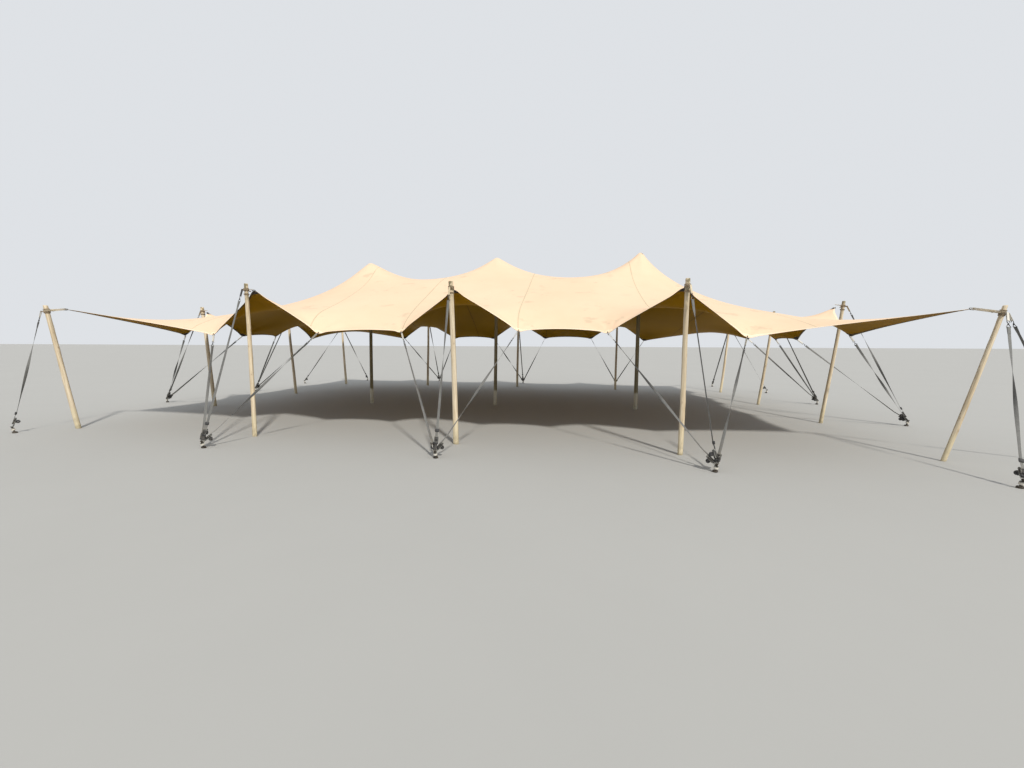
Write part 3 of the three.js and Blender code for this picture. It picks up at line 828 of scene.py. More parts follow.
def on_sheet(i, j):
    """The place and the outward side on the faces of that grid, at net coordinates. What is sewn on
    the sheet follows these faces, so that it lies flush on them: each is two flat triangles that
    meet in the diagonal u = v, u and v being shares of the way along its sides."""
    i, j = np.broadcast_arrays(i, j)
    column = np.clip(np.searchsorted(sheet_i, i, side="right") - 1, 0, len(sheet_i) - 2)
    row = np.clip(np.searchsorted(sheet_j, j, side="right") - 1, 0, len(sheet_j) - 2)
    u = ((i - sheet_i[column]) / (sheet_i[column + 1] - sheet_i[column]))[..., None]
    v = ((j - sheet_j[row]) / (sheet_j[row + 1] - sheet_j[row]))[..., None]

    def between(grid):
        a, b = grid[row, column], grid[row, column + 1]
        d, c = grid[row + 1, column], grid[row + 1, column + 1]
        return np.where(v < u, a + u * (b - a) + v * (c - b), a + v * (d - a) + u * (c - d))

    return between(sheet_grid), unit(between(sheet_sides))


canopy = make_piece("canopy_sheet", [sheet_patch()], [fabric_top, fabric_under_painted_shade], ["canopy"])
thick = canopy.modifiers.new("thickness", "SOLIDIFY")
thick.thickness, thick.offset, thick.material_offset = SHEET_THICKNESS, 0.0, 1
print("canopy", made["canopy_sheet"], "faces")

# %% [markdown]
# ## Hem, seams and patches
# The rim is folded over and sewn into a hem four centimetres wide. The sheet is joined from
# panels about two metres wide, so a flat seam runs from front to back every two metres. Where a
# pole or a strap pulls on the rim, stitched patches spread the load: dark ones at the poles, and at
# the low points cream on top and dark below. All of them are thin pieces on the sheet's surface.

# %% Sewn cloth
STITCHED = dict(Pitch=0.008, Width=0.0013)


def sewn_material(name, light, deep, thread, lines):
    """Doubled cloth with rows of stitches at the given distances across the map."""
    material, n, shader = new_material(name)
    place, flat = n.place(), n.flat()
    tone = n.group(CLOUDS, Place=place, Size=0.5, Contrast=1.0)
    colour, stitches = n.mix(tone, deep, light), 0.0
    for line in lines:
        row = n.group(STITCHES, Place=flat, Line=line, **STITCHED)
        stitches = n.maths("MAXIMUM", stitches, row)
    weave = n.group(WEAVE, Place=flat, Pitch=0.0016)
    height = n.plus(n.times(weave, 0.2), stitches)
    rough = n.plus(0.68, n.times(tone, 0.12))
    set_shader(n, shader, Base_Color=n.mix(stitches, colour, thread), Roughness=rough,
               Normal=n.bump(height, 0.0012, 0.6))
    return material


hem_cloth = sewn_material("hem_cloth", (0.82, 0.65, 0.48), (0.74, 0.57, 0.41), (0.42, 0.29, 0.17),
                          (0.010, 0.035))
seam_cloth = sewn_material("seam_cloth", (0.59, 0.49, 0.33), (0.46, 0.38, 0.25), (0.34, 0.28, 0.18),
                           (-0.006, 0.006))
# The undersides of the hem and the seams get the same painted shade as the sheet's underside: dark olive
# brown.
under_cloth_painted_shade = sewn_material("under_cloth_painted_shade", (0.120, 0.075, 0.012), (0.085, 0.052, 0.008),
                            (0.20, 0.13, 0.04), (-0.006, 0.006, 0.010, 0.035))
cream_patch = sewn_material("cream_patch", (0.82, 0.65, 0.45), (0.72, 0.55, 0.37), (0.92, 0.84, 0.68),
                            (0.006, 0.012))
dark_patch = sewn_material("dark_patch", (0.050, 0.036, 0.026), (0.030, 0.022, 0.017), (0.20, 0.15, 0.10),
                           (0.006, 0.012))
print("sewn:", ", ".join(m.name for m in (hem_cloth, seam_cloth, under_cloth_painted_shade, cream_patch, dark_patch)))

# %% [markdown]
# The hem and the seams are strips carried along a line of the sheet. Their section is given in
# metres, across the line and up from the cloth, and net coordinates are found from it by dividing
# by the length of a net step. The hem's section curls round the edge of the sheet.

# %% Hem and seams
HEM_WIDTH = 0.040
TOP, BELOW = (1, 0), (-1, 1)


def sewn_strip(section, middle_i, middle_j, across_i, face):
    """A strip along a line of the sheet. The section holds (across, lift); across runs along i or
    along j, and face is TOP or BELOW: which side it lies on and its material."""
    side, slot = face
    step = np.linalg.norm(net_steps(middle_i, middle_j)[0 if across_i else 1], axis=-1)
    across = section[None, :, 0] / step
    i, j = (middle_i + across, middle_j) if across_i else (middle_i, middle_j + across)
    points, normal = on_sheet(i, j)
    points = points + normal * side * section[None, :, 1:]
    run = run_length(points, 0)[:, None] + np.zeros(len(section))
    off = np.broadcast_to(np.abs(section[:, 0]), run.shape)
    return tube(points, uv=np.stack([off, run], -1), slot=slot)


def hem_strip(rim, along_x, face):
    """Half of the folded rim of one side, on top of the sheet and round its edge, or below it."""
    inward = -1 if rim else 1
    section = np.array([(HEM_WIDTH, 0.0006), (HEM_WIDTH, 0.0018), (0.036, 0.0027), (0.018, 0.0028),
                        (0.002, 0.0026), (-0.0020, 0.0018), (-0.0030, 0.0), (-0.0020, -0.0010),
                        (0.0, 0.0006)])
    stations = (sheet_i if along_x else sheet_j)[:, None]
    middle_i, middle_j = (stations, rim) if along_x else (rim, stations)
    return sewn_strip(section * (inward, 1), middle_i, middle_j, not along_x, face)


SEAMS = ((6.6, 3.0), (13.6, 10.0), (19.0, 17.2), (25.0, 25.2), (32.0, 32.2), (38.8, 38.8))


def seam_strip(front, back, face):
    """One side of a flat seam, from its net column at the front edge to that at the back: wide on
    top, a narrow raised line below."""
    section = np.array([(-0.0115, 0.0006), (0.0115, 0.0006), (0.0112, 0.0016), (0, 0.0022),
                        (-0.0112, 0.0016)])
    section = section * (1.0 if face == TOP else 0.35, 1.0)
    j = 0.1 + crowded(ROWS, 220, (0, ROWS), 1.1, 1.0)[:, None] * (ROWS - 0.2) / ROWS
    return sewn_strip(section, front + (back - front) * j / ROWS, j, True, face)


RIMS = ((0.0, True), (float(ROWS), True), (0.0, False), (float(COLUMNS), False))
hem = make_piece("canopy_hem", [hem_strip(*rim, face) for rim in RIMS for face in (TOP, BELOW)],
                 [hem_cloth, under_cloth_painted_shade])
seams = make_piece("canopy_seams", [seam_strip(*ends, face) for ends in SEAMS for face in (TOP, BELOW)],
                   [seam_cloth, under_cloth_painted_shade])
print("hem", made["canopy_hem"], "seams", made["canopy_seams"], "faces")

# %% [markdown]
# A patch is a disc round a point of the rim, cut where the sheet ends: half a disc on a side, a
# quarter at a corner. Its edge is lower than its middle, as the stitches press it down.


# %% Patches on the rim
def inward_angles(i, j):
    """The range of directions that lead from a point of the rim into the sheet."""
    faces = {(0, None): (-0.5, 0.5), (COLUMNS, None): (0.5, 1.5), (None, 0): (0, 1),
             (None, ROWS): (1, 2), (0, 0): (0, 0.5), (COLUMNS, 0): (0.5, 1),
             (COLUMNS, ROWS): (1, 1.5), (0, ROWS): (1.5, 2)}
    key = (i if i in (0, COLUMNS) else None, j if j in (0, ROWS) else None)
    return np.pi * np.array(faces[key])


def round_patch(i, j, radius, side, slot):
    """The part of a disc that lies on the sheet, sewn round a point of the rim: on top of the
    sheet where side is 1, below it where side is -1."""
    low, high = inward_angles(i, j)
    r = np.linspace(0.004, radius, 10)[:, None]
    angle = np.linspace(low, high, 27)[None]
    step_i, step_j = (np.linalg.norm(s, axis=-1) for s in net_steps(float(i), float(j)))
    points, normal = on_sheet(i + r * np.cos(angle) / step_i, j + r * np.sin(angle) / step_j)
    lift = np.where(r > radius - 0.001, 0.0022, 0.0040)[..., None]
    uv = np.stack([radius - r + 0 * angle, r * (angle - low)], -1)
    return shell(points + normal * side * lift, points + normal * side * 0.0006, uv, slot)


EAVE_PATCHES, LOW_PATCHES = ((0.060, 1, 1), (0.075, -1, 1)), ((0.075, 1, 0), (0.095, -1, 1))
discs = [round_patch(*node, *size) for node in rim_pins()
         for size in (EAVE_PATCHES if node in EAVE_NODES else LOW_PATCHES)]
patches = make_piece("canopy_patches", discs, [cream_patch, dark_patch])
print(len(discs), "patches", made["canopy_patches"], "faces")

# %% [markdown]
# ## Wood
# The poles are debarked young trunks: nearly round, a little crooked, thinner at the head, with
# knots where branches grew and a long crack where the wood dried. The centre poles are painted
# darker and greener than the edge poles: painted shade, as they stand in the canopy's shade. The
# finish reads `grain`, each point's place in its own straightened trunk, so that the streaks
# follow the pole however it leans, and `marks`, which hold the knots, the sawn ends and the crack.


# %% Wood material
def wood_material(name, deep, light, tip, foot, cover):
    """Round timber: long thin streaks, year rings on the sawn ends, dark knots and weathering.
    tip is the colour of the heads, foot that of the lowest 0.4 m, which it covers so strongly."""
    material, n, shader = new_material(name)
    grain = n.add("Attribute", attribute_name="grain").outputs["Vector"]
    masks = n.parts(n.add("Attribute", attribute_name="marks").outputs["Vector"])
    long = n.scaled(grain, (1.0, 1.0, 0.035))
    streak = n.noise(long, 95.0, 5.0, 0.62)
    broad = n.noise(long, 22.0, 3.0)
    level = n.scaled(grain, (1.0, 1.0, 0.0))
    radius = n.add("VectorMath", {0: level}, operation="LENGTH").outputs["Value"]
    wobble = n.times(n.noise(long, 30.0, 2.0), 0.006)
    rings = n.maths("SINE", n.times(n.plus(radius, wobble), 1600.0))
    face = n.plus(0.5, n.times(rings, 0.35))
    fine = n.add("Mix", {0: masks[1], 2: streak, 3: face}, data_type="FLOAT").outputs[0]
    tone = n.plus(n.times(fine, 0.62), n.times(broad, 0.38))
    colour = n.mix(n.ramp(tone, 0.36, 0.64), deep, light)
    weathered = n.ramp(n.noise(long, 9.0, 4.0), 0.46, 0.66)
    colour = n.mix(n.times(weathered, 0.42), colour, (0.42, 0.37, 0.27))
    height = n.height()
    top = n.times(n.ramp(height, 2.30, 2.58), n.ramp(n.noise(grain, 17.0, 4.0), 0.40, 0.54))
    colour = n.mix(n.times(top, 0.9), colour, tip)
    colour = n.mix(n.times(masks[0], 0.8), colour, (0.20, 0.11, 0.05))
    colour = n.mix(n.times(masks[2], 0.85), colour, (0.10, 0.065, 0.035))
    low = n.minus(1.0, n.ramp(n.plus(height, n.times(broad, 0.10)), 0.42, 0.50))
    colour = n.mix(n.times(low, cover), colour, foot)
    dust = n.group(DUST, Place=n.place(), Reach=0.25)
    colour = n.mix(n.times(dust, 0.45), colour, (0.17, 0.15, 0.08))
    relief = n.minus(n.times(fine, 0.8), masks[2])
    rough = n.plus(0.55, n.times(streak, 0.25))
    set_shader(n, shader, Base_Color=colour, Roughness=rough, Normal=n.bump(relief, 0.0016, 0.6))
    return material


pole_wood = wood_material("pole_wood", (0.43, 0.33, 0.20), (0.72, 0.62, 0.46),
                          tip=(0.155, 0.13, 0.065), foot=(0.60, 0.53, 0.34), cover=0.4)
# The centre poles' wood and knob colours are painted shade: dark and green-brown.
centre_wood_painted_shade = wood_material("centre_wood_painted_shade", (0.110, 0.092, 0.038), (0.21, 0.175, 0.080),
                         tip=(0.10, 0.070, 0.018), foot=(0.60, 0.57, 0.46), cover=0.85)
print("wood:", pole_wood.name, "and", centre_wood_painted_shade.name)

# %% [markdown]
# A pole is one grid: angle round it, height up it. The radius is the taper plus slow waves, plus
# a mound with a dent at each knot, minus a narrow groove for the crack. Columns crowd together at
# the crack, and lean with it, so that a groove of a few millimetres needs no finer mesh elsewhere.

# %% A trunk
FOOT_RADIUS, HEAD_RADIUS = 0.046, 0.038
KNOT_SWELL, KNOT_DENT, CRACK_DEPTH = 0.0042, 0.0026, 0.0032


def trunk(foot, lean, levels, radii, seed, knots=11):
    """A trunk of wood. levels and radii, its heights and the radius at each, give its outline.
    Each section is moved sideways by lean * height and by a slow bend that is nothing at either
    end."""
    random = np.random.default_rng(seed)
    tall = levels.max()
    share = (levels / tall)[:, None]
    wander = 0.14 * np.sin(5.3 * share + random.uniform(0, 6))
    wander = wander + 0.05 * np.sin(19 * share + random.uniform(0, 6))
    columns = crowded(2 * np.pi, 50, (np.pi,), 0.16, 5.0)[:-1][None]
    angle = columns + wander + random.uniform(0, 6.3)
    wall = radii[:, None] > 0.6 * radii.max()
    size = (radii[:, None] / radii.max()) ** 2
    shape = (0.0012 * np.cos(2 * angle + 1.5 * share + random.uniform(0, 6))
             + 0.0009 * np.sin(3 * angle + 7 * share + random.uniform(0, 6))
             + 0.0006 * np.sin(9 * angle + 3 * share + random.uniform(0, 6)))
    knot = np.zeros(angle.shape)
    for _ in range(knots):
        off = (angle - random.uniform(0, 2 * np.pi) + np.pi) % (2 * np.pi) - np.pi
        rise = levels[:, None] - random.uniform(0.12, tall - 0.12)
        big = random.uniform(0.6, 1.2)
        shape = shape + big * KNOT_SWELL * np.exp(-((off / 0.42) ** 2) - (rise / 0.055) ** 2)
        core = np.exp(-((off / 0.19) ** 2) - (rise / 0.017) ** 2)
        shape = shape - big * KNOT_DENT * core
        knot = np.maximum(knot, core * min(big, 1.0))
    starts, ends = random.uniform(0.05, 0.35), random.uniform(0.65, 1.02)
    reach = np.clip((share - starts) * 9, 0, 1) * np.clip((ends - share) * 9, 0, 1)
    crack = reach * np.exp(-(((columns - np.pi) / 0.032) ** 2))
    radius = radii[:, None] + (shape - CRACK_DEPTH * crack) * size
    bend = np.sin(np.pi * share) * random.uniform(-0.009, 0.009, 2)
    bend = bend + np.sin(2 * np.pi * share) * random.uniform(-0.005, 0.005, 2)
    centre = foot + lean * levels[:, None] + bend
    flat = np.stack([np.cos(angle), np.sin(angle)], -1) * radius[..., None]
    height = np.broadcast_to(levels[:, None, None], angle.shape + (1,))
    points = np.concatenate([centre[:, None] + flat, height], -1)
    grain = np.concatenate([flat, height + 3.0 * seed], -1)
    end = np.broadcast_to(~wall | (levels[:, None] >= tall - 1e-6), angle.shape)
    return tube(points, grain=grain, marks=np.stack([knot * wall, end.astype(float), crack * wall], -1))


# %% [markdown]
# An edge pole ends in a sawn face whose corner is knocked off. A centre pole is taller, and ends
# in a broad round knob that spreads the load on the cloth. The top of the knob is shaped after the
# cloth: at each distance from the peak it takes the lowest height of the cloth's underside.


# %% Edge poles and centre poles
def edge_pole(key, seed):
    """A plain pole with sawn ends whose corners are knocked off."""
    pole = EDGE_POLES[key]
    foot, head = np.array(pole["foot"]), np.array(pole["head"])
    tall = head[2]
    body = np.linspace(0.006, tall - 0.007, 104)
    levels = np.concatenate([[0, 0], body, [tall - 0.002, tall, tall, tall]])
    near, far = FOOT_RADIUS * pole["girth"], HEAD_RADIUS * pole["girth"]
    taper = near + (far - near) * body / tall
    sawn = [far - 0.003, far - 0.006, 0.6 * far, 0.2 * far]
    radii = np.concatenate([[0.012, near - 0.003], taper, sawn])
    patch = trunk(foot, (head[:2] - foot) / tall, levels, radii, seed)
    return make_piece("timber_" + key, [patch], [pole_wood], ["pole_" + key], sharp=50)


def cloth_over(node, radii):
    """The lowest height of the cloth's underside at each radius round a peak."""
    step_i, step_j = net_steps(float(node[0]), float(node[1]))
    angle = np.arange(24) * 2 * np.pi / 24
    r = np.asarray(radii)[:, None]
    points, _ = sheet_point(node[0] + r * np.cos(angle) / np.linalg.norm(step_i),
                            node[1] + r * np.sin(angle) / np.linalg.norm(step_j))
    return points[..., 2].min(axis=1) - 0.0018


def centre_pole(key, seed):
    """A taller pole that ends in a turned knob, rounded to the cloth that rests on it."""
    pole = CENTRE_POLES[key]
    foot, peak = np.array(pole["foot"]), np.array(pole["peak"])
    knob = np.array([0.062, 0.059, 0.054, 0.047, 0.039, 0.030, 0.021, 0.012, 0.004])
    top = cloth_over(pole["node"], knob)
    neck = top[0] - np.array([0.062, 0.048, 0.036, 0.026, 0.016])
    body = np.linspace(0.006, neck[0] - 0.02, 130)
    levels = np.concatenate([[0, 0], body, neck, top])
    near, far = FOOT_RADIUS * pole["girth"], HEAD_RADIUS * pole["girth"]
    taper = near + (far - near) * body / body[-1]
    radii = np.concatenate([[0.012, near - 0.003], taper, [far, 0.043, 0.049, 0.057, 0.0615], knob])
    patch = trunk(foot, (peak[:2] - foot) / peak[2], levels, radii, seed, knots=14)
    return make_piece("timber_" + key, [patch], [centre_wood_painted_shade], ["pole_" + key], sharp=50)


for seed, key in enumerate(EDGE_POLES):
    edge_pole(key, seed)
for seed, key in enumerate(CENTRE_POLES):
    centre_pole(key, 40 + seed)
print("poles", sum(v for k, v in made.items() if k.startswith("timber_")), "faces")

# %% [markdown]
# ## Straps, ropes and ironwork
# Each strap starts at a steel ring round a peg: a triangular link, a short loop of webbing and the
# ratchet, whose spool winds up the long webbing. At its other end the webbing is sewn round a
# triangular link that hangs by a ring from a hook. A pale, cream or black loop joins the hook to
# the shackle at the canopy's rim, or to the slings round a pole's head. Spare webbing is rolled up
# at each ratchet, and on the straps to the heads some is wound round the strap above it too.


# %% Webbing and metal finishes
def webbing_material(name, light, deep, soil):
    """Woven polyester: close ribs along the strap with painted shade between them, worn paler in
    patches, soiled near the ground.
    """
    material, n, shader = new_material(name)
    place, flat = n.place(), n.flat()
    tone = n.group(CLOUDS, Place=place, Size=0.22, Contrast=1.2)
    weave = n.group(WEAVE, Place=flat, Pitch=0.0034)
    colour = n.mix(tone, deep, light)
    # The gaps between the ribs are darkened: painted shade.
    painted_gap_shade = n.times(n.ramp(weave, 0.5, 0.1), 0.35)
    colour = n.mix(painted_gap_shade, colour, tuple(0.4 * c for c in deep))
    dust = n.group(DUST, Place=place, Reach=0.5)
    colour = n.mix(n.times(dust, soil), colour, (0.22, 0.18, 0.12))
    rough = n.plus(0.55, n.times(tone, 0.2))
    set_shader(n, shader, Base_Color=colour, Roughness=rough, Normal=n.bump(weave, 0.0009, 0.7))
    shader.inputs["Sheen Weight"].default_value = 0.25
    return material


def metal_material(name, clean, dull, metallic, worn, scratches):
    """Plated or painted steel: a dull film in clouds, fine scratches and worn spots of bare metal."""
    material, n, shader = new_material(name)
    place = n.place()
    film = n.group(CLOUDS, Place=place, Size=0.05, Contrast=1.3)
    scratch = n.noise(n.scaled(place, (1.0, 1.0, 0.15)), 900.0, 2.0)
    bare = n.ramp(n.noise(place, 70.0, 4.0, 0.6), 0.60, 0.70)
    colour = n.mix(film, dull, clean)
    colour = n.mix(n.times(bare, worn), colour, (0.55, 0.53, 0.49))
    dust = n.group(DUST, Place=place, Reach=0.4)
    colour = n.mix(n.times(dust, 0.25), colour, (0.20, 0.16, 0.10))
    rough = n.plus(n.times(film, -0.18), n.plus(0.5, n.times(dust, 0.25)))
    metal = n.minus(metallic, n.times(dust, 0.5 * metallic))
    set_shader(n, shader, Base_Color=colour, Roughness=rough, Metallic=metal,
               Normal=n.bump(scratch, 0.0002, scratches))
    return material


def plastic_material():
    """Moulded black handle grips: a fine pebbled skin, scuffed grey."""
    material, n, shader = new_material("black_grip")
    place = n.place()
    scuff = n.ramp(n.noise(place, 60.0, 5.0), 0.5, 0.72)
    colour = n.mix(scuff, (0.018, 0.018, 0.019), (0.07, 0.07, 0.068))
    set_shader(n, shader, Base_Color=colour, Roughness=n.plus(0.38, n.times(scuff, 0.3)),
               Normal=n.bump(n.noise(place, 1400.0, 1.0), 0.0002, 0.4))
    return material


def rope_material(name, deep, light):
    """Natural rope: thin fibres along each strand, in light and dark threads."""
    material, n, shader = new_material(name)
    flat = n.scaled(n.flat(), (1400.0, 90.0, 1.0))
    fibre = n.noise(flat, 1.0, 3.0)
    tone = n.group(CLOUDS, Place=n.place(), Size=0.2, Contrast=1.0)
    colour = n.mix(n.times(fibre, tone), deep, light)
    set_shader(n, shader, Base_Color=colour, Roughness=0.85, Normal=n.bump(fibre, 0.0008, 0.7))
    return material


GREY_WEB, PALE_WEB, BLACK_WEB, ROPE, BROWN_ROPE = range(5)
strap_materials = [
    webbing_material("grey_black_webbing", (0.165, 0.165, 0.155), (0.075, 0.075, 0.072), soil=0.55),
    webbing_material("pale_webbing", (0.78, 0.75, 0.68), (0.56, 0.53, 0.46), soil=0.3),
    webbing_material("black_webbing", (0.034, 0.034, 0.036), (0.018, 0.018, 0.019), soil=0.15),
    rope_material("cream_rope", (0.42, 0.34, 0.22), (0.82, 0.74, 0.58)),
    rope_material("brown_rope", (0.19, 0.135, 0.080), (0.44, 0.34, 0.22))]
ZINC, BLACK_STEEL, GRIP = range(3)
iron_materials = [
    metal_material("zinc_plate", (0.40, 0.40, 0.37), (0.14, 0.14, 0.125), 1.0, 0.3, 0.3),
    metal_material("blackened_steel", (0.060, 0.058, 0.055), (0.030, 0.029, 0.028), 0.55, 0.75, 0.3),
    plastic_material()]
peg_steel = metal_material("peg_steel", (0.042, 0.039, 0.037), (0.026, 0.021, 0.018), 0.6, 0.35, 0.6)
print(len(strap_materials), "finishes of webbing and rope,", len(iron_materials) + 1, "of metal and grip")

# %% [markdown]
# The ratchet is made once, in its own frame: x across the strap, y away from the strap's face
# and z up along the strap. It is then carried to each of the 37 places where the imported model
# has one. Two cheeks hold the spool and the bolt, the lever lies closed over them with its grip
# at the lower end, and two toothed wheels drive the spool. The spare webbing is rolled up and
# held by a band against the back of the frame.

# %% The ratchet
X_AXIS, Y_AXIS, Z_AXIS = np.eye(3)
BOLT_Z, SPOOL_Z = -0.058, 0.032
STRAP_WIDTH, STRAP_THICKNESS = 0.038, 0.0024


def slab(start, end, x_axis, width, thickness, slot):
    """A flat bar with eased edges from start to end."""
    path = np.linspace(start, end, 3)
    x_axis = unit(x_axis)
    return carried(strap_section(width, thickness), path, x_axis, np.cross(travel(path), x_axis), slot=slot)


def toothed_wheel(middle, radius, teeth, thickness, slot):
    """A disc whose radius rises slowly and drops steeply once for each tooth."""
    angle = np.arange(teeth * 3) * 2 * np.pi / (teeth * 3)
    reach = radius + 0.0022 * np.tile([0.0, 0.55, 1.0], teeth)
    ring = np.stack([0 * angle, np.cos(angle) * reach, np.sin(angle) * reach], -1)
    depth = np.array([-0.5, 0.5])[:, None, None] * thickness * X_AXIS
    return tube(middle + ring + depth, slot=slot)


def ridged_grip(middle, half_length, radius, slot):
    """A round handle with shallow finger ridges: the radius swells and narrows along it."""
    x = np.linspace(-half_length, half_length, 17)
    ease = np.sqrt(np.clip(1 - (np.abs(x) / (half_length * 1.02)) ** 8, 0.05, 1))
    swell = radius * ease * (1 + 0.05 * np.cos(x / half_length * 5 * np.pi))
    path = middle + x[:, None] * X_AXIS
    section = circle(1.0, 12) * (1.0, 0.72)
    return carried(section[None] * swell[:, None, None], path, Z_AXIS, Y_AXIS, slot=slot)


def spiral_roll(middle, inner, outer, turns, slot):
    """Rolled webbing: a strap carried along a spiral whose radius grows evenly with the angle."""
    angle = np.linspace(0, 2 * np.pi * turns, int(15 * turns))
    radius = inner + (outer - inner) * angle / angle[-1]
    around = np.stack([0 * angle, np.cos(angle), np.sin(angle)], -1)
    w, t = STRAP_WIDTH / 2, STRAP_THICKNESS / 2
    section = np.array([(-w, -t), (w, -t), (w, t), (-w, t)])
    return carried(section, middle + radius[:, None] * around, X_AXIS, around, slot=slot)


def ratchet_parts():
    """The ratchet's metal and its webbing, as two lists of patches in its own frame."""
    iron, cloth = [], []
    bolt, spool = BOLT_Z * Z_AXIS, SPOOL_Z * Z_AXIS
    for side in (-1, 1):
        frame_side, wheel_side, lever_side = (x * side * X_AXIS for x in (0.0225, 0.0255, 0.0288))
        iron.append(cheek(frame_side + bolt, frame_side + spool, 0.010, 0.0165, X_AXIS, 0.003, ZINC))
        iron.append(toothed_wheel(wheel_side + spool, 0.0150, 12, 0.0026, ZINC))
        iron.append(cheek(lever_side + (0, 0.012, -0.046), lever_side + spool, 0.009, 0.0125,
                          X_AXIS, 0.003, BLACK_STEEL))
    across = np.array([-1, -0.94, 0.94, 1])[:, None] * X_AXIS
    iron.append(rod(0.0335 * across + spool, 0.0065, Z_AXIS, 12, slot=ZINC))
    iron.append(rod(0.0270 * across + bolt, 0.0045, Z_AXIS, 8, slot=ZINC))
    iron.append(slab((0, -0.0095, -0.050), (0, -0.0095, 0.004), X_AXIS, 0.044, 0.0026, ZINC))
    iron.append(slab((0, 0.006, -0.022), (0, 0.011, 0.016), X_AXIS, 0.040, 0.0030, BLACK_STEEL))
    iron.append(ridged_grip((0, 0.016, -0.056), 0.0335, 0.0120, GRIP))
    iron.append(slab((0, 0.013, -0.040), (0, 0.012, -0.052), X_AXIS, 0.050, 0.006, BLACK_STEEL))
    drum = np.linspace(-0.5, 0.5, 4)[:, None] * STRAP_WIDTH * X_AXIS
    cloth.append(rod(drum + spool, 0.0135, Z_AXIS, 20, slot=BLACK_WEB))
    roll, held = (0, -0.041, -0.014), (0, 0, -0.014)
    cloth.append(spiral_roll(roll, 0.008, 0.0285, 5.2, BLACK_WEB))
    cloth.append(webbing_loop(roll, held, 0.0312, 0.0135, X_AXIS, 0.012, 0.0016, slot=BLACK_WEB))
    return iron, cloth


def moved(patch, origin, axes):
    """A patch carried from its own frame to origin + x * axes[0] + y * axes[1] + z * axes[2]."""
    return {**patch, "points": origin + patch["points"] @ np.array(axes)}


RATCHET_IRON, RATCHET_CLOTH = ratchet_parts()
ratchet_faces = sum(len(p["quads"]) + len(p["triangles"]) for p in RATCHET_IRON + RATCHET_CLOTH)
print("ratchet", ratchet_faces, "faces")

# %% [markdown]
# The steel fittings are bars bent in a plane, so each is a flat outline placed in space by two
# unit vectors: a triangle with round corners, whose base holds the webbing, and a hook.


# %% Links, hooks and loops
LOOP_LENGTH, HOOK_LENGTH, RING_LENGTH = 0.115, 0.054, 0.008
LINK_HEIGHT, LINK_WIRE = 0.038, 0.0038
BAR_DROP = LOOP_LENGTH + HOOK_LENGTH + RING_LENGTH + LINK_HEIGHT + 0.004


def rounded_triangle(half_base, height, radius):
    """The outline of a triangle with round corners: base down at -height, apex at the origin."""
    corners = np.array([(0, 0), (-half_base, -height), (half_base, -height)])
    sides = np.roll(corners, -1, axis=0) - corners
    normals = np.arctan2(-sides[:, 0], sides[:, 1])
    path = []
    for k in range(3):
        start, end = normals[k - 1], normals[k]
        end = start + (end - start) % (2 * np.pi)
        angle = np.linspace(start, end, 4)
        corner = corners[k] + radius * np.stack([np.cos(angle), np.sin(angle)], -1)
        ahead = corners[(k + 1) % 3] + radius * np.array([np.cos(end), np.sin(end)])
        path += [corner, (corner[-1:] + ahead) / 2]
    return np.concatenate(path)


def in_plane(flat, origin, across, upward):
    """Points of a flat outline placed in space."""
    return origin + flat[:, :1] * across + flat[:, 1:] * upward


def triangular_link(apex, upward, across, slot):
    """A triangular link of round bar: its base holds webbing that runs round it."""
    path = in_plane(rounded_triangle(0.0195, LINK_HEIGHT, 0.005), apex, across, upward)
    return rod(path, LINK_WIRE, np.cross(across, upward), 7, closed=True, slot=slot)


def hook_shape(top, upward, across, slot):
    """An open hook: a tip, half a turn over the top and a shank that narrows to the middle."""
    turn = np.linspace(0, np.pi, 9)
    arch = np.stack([0.0125 * np.cos(turn), 0.0125 * np.sin(turn) - 0.0125], -1)
    tip = [(0.0205, -0.0260), (0.0150, -0.0190)]
    shank = [(-0.0125, -0.024), (-0.0085, -0.036), (-0.002, -0.045), (0, -0.052)]
    flat = np.concatenate([tip, arch, shank])
    return rod(in_plane(flat, top, across, upward), 0.0040, np.cross(across, upward), 8, slot=slot)


def top_fittings(hang, upward, across, loop_slot):
    """What joins a strap to the point it hangs from: the loop, the hook, the ring, the link and
    the end of the strap that is sewn round the link."""
    bight = hang - LOOP_LENGTH * upward
    eye = bight - HOOK_LENGTH * upward
    apex = eye - RING_LENGTH * upward
    bar = hang - BAR_DROP * upward
    cloth = [webbing_loop(hang, bight, 0.0075, 0.0062, across, 0.027, 0.0032, slot=loop_slot),
             webbing_loop(bar, bar - 0.095 * upward, 0.0056, 0.0022, across, STRAP_WIDTH,
                          STRAP_THICKNESS, slot=GREY_WEB)]
    iron = [hook_shape(bight, upward, across, BLACK_STEEL),
            link(eye, apex, 0.0075, across, LINK_WIRE, BLACK_STEEL, steps=5, sides=7),
            triangular_link(apex, upward, across, BLACK_STEEL)]
    return iron, cloth


# %% [markdown]
# A taut strap is straight, but it often turns over on its way, because its two ends face different
# ways. Here the strap's width keeps the ratchet's direction for a share of its length, and then
# turns smoothly to the hook's. It leaves the spool a little off the straight line between its
# ends, and is back on it 14 centimetres further up.


# %% One strap from peg to top
OFF_SPOOL, BACK_IN_LINE = 0.0145, 0.14
LOW_LINK = 0.017


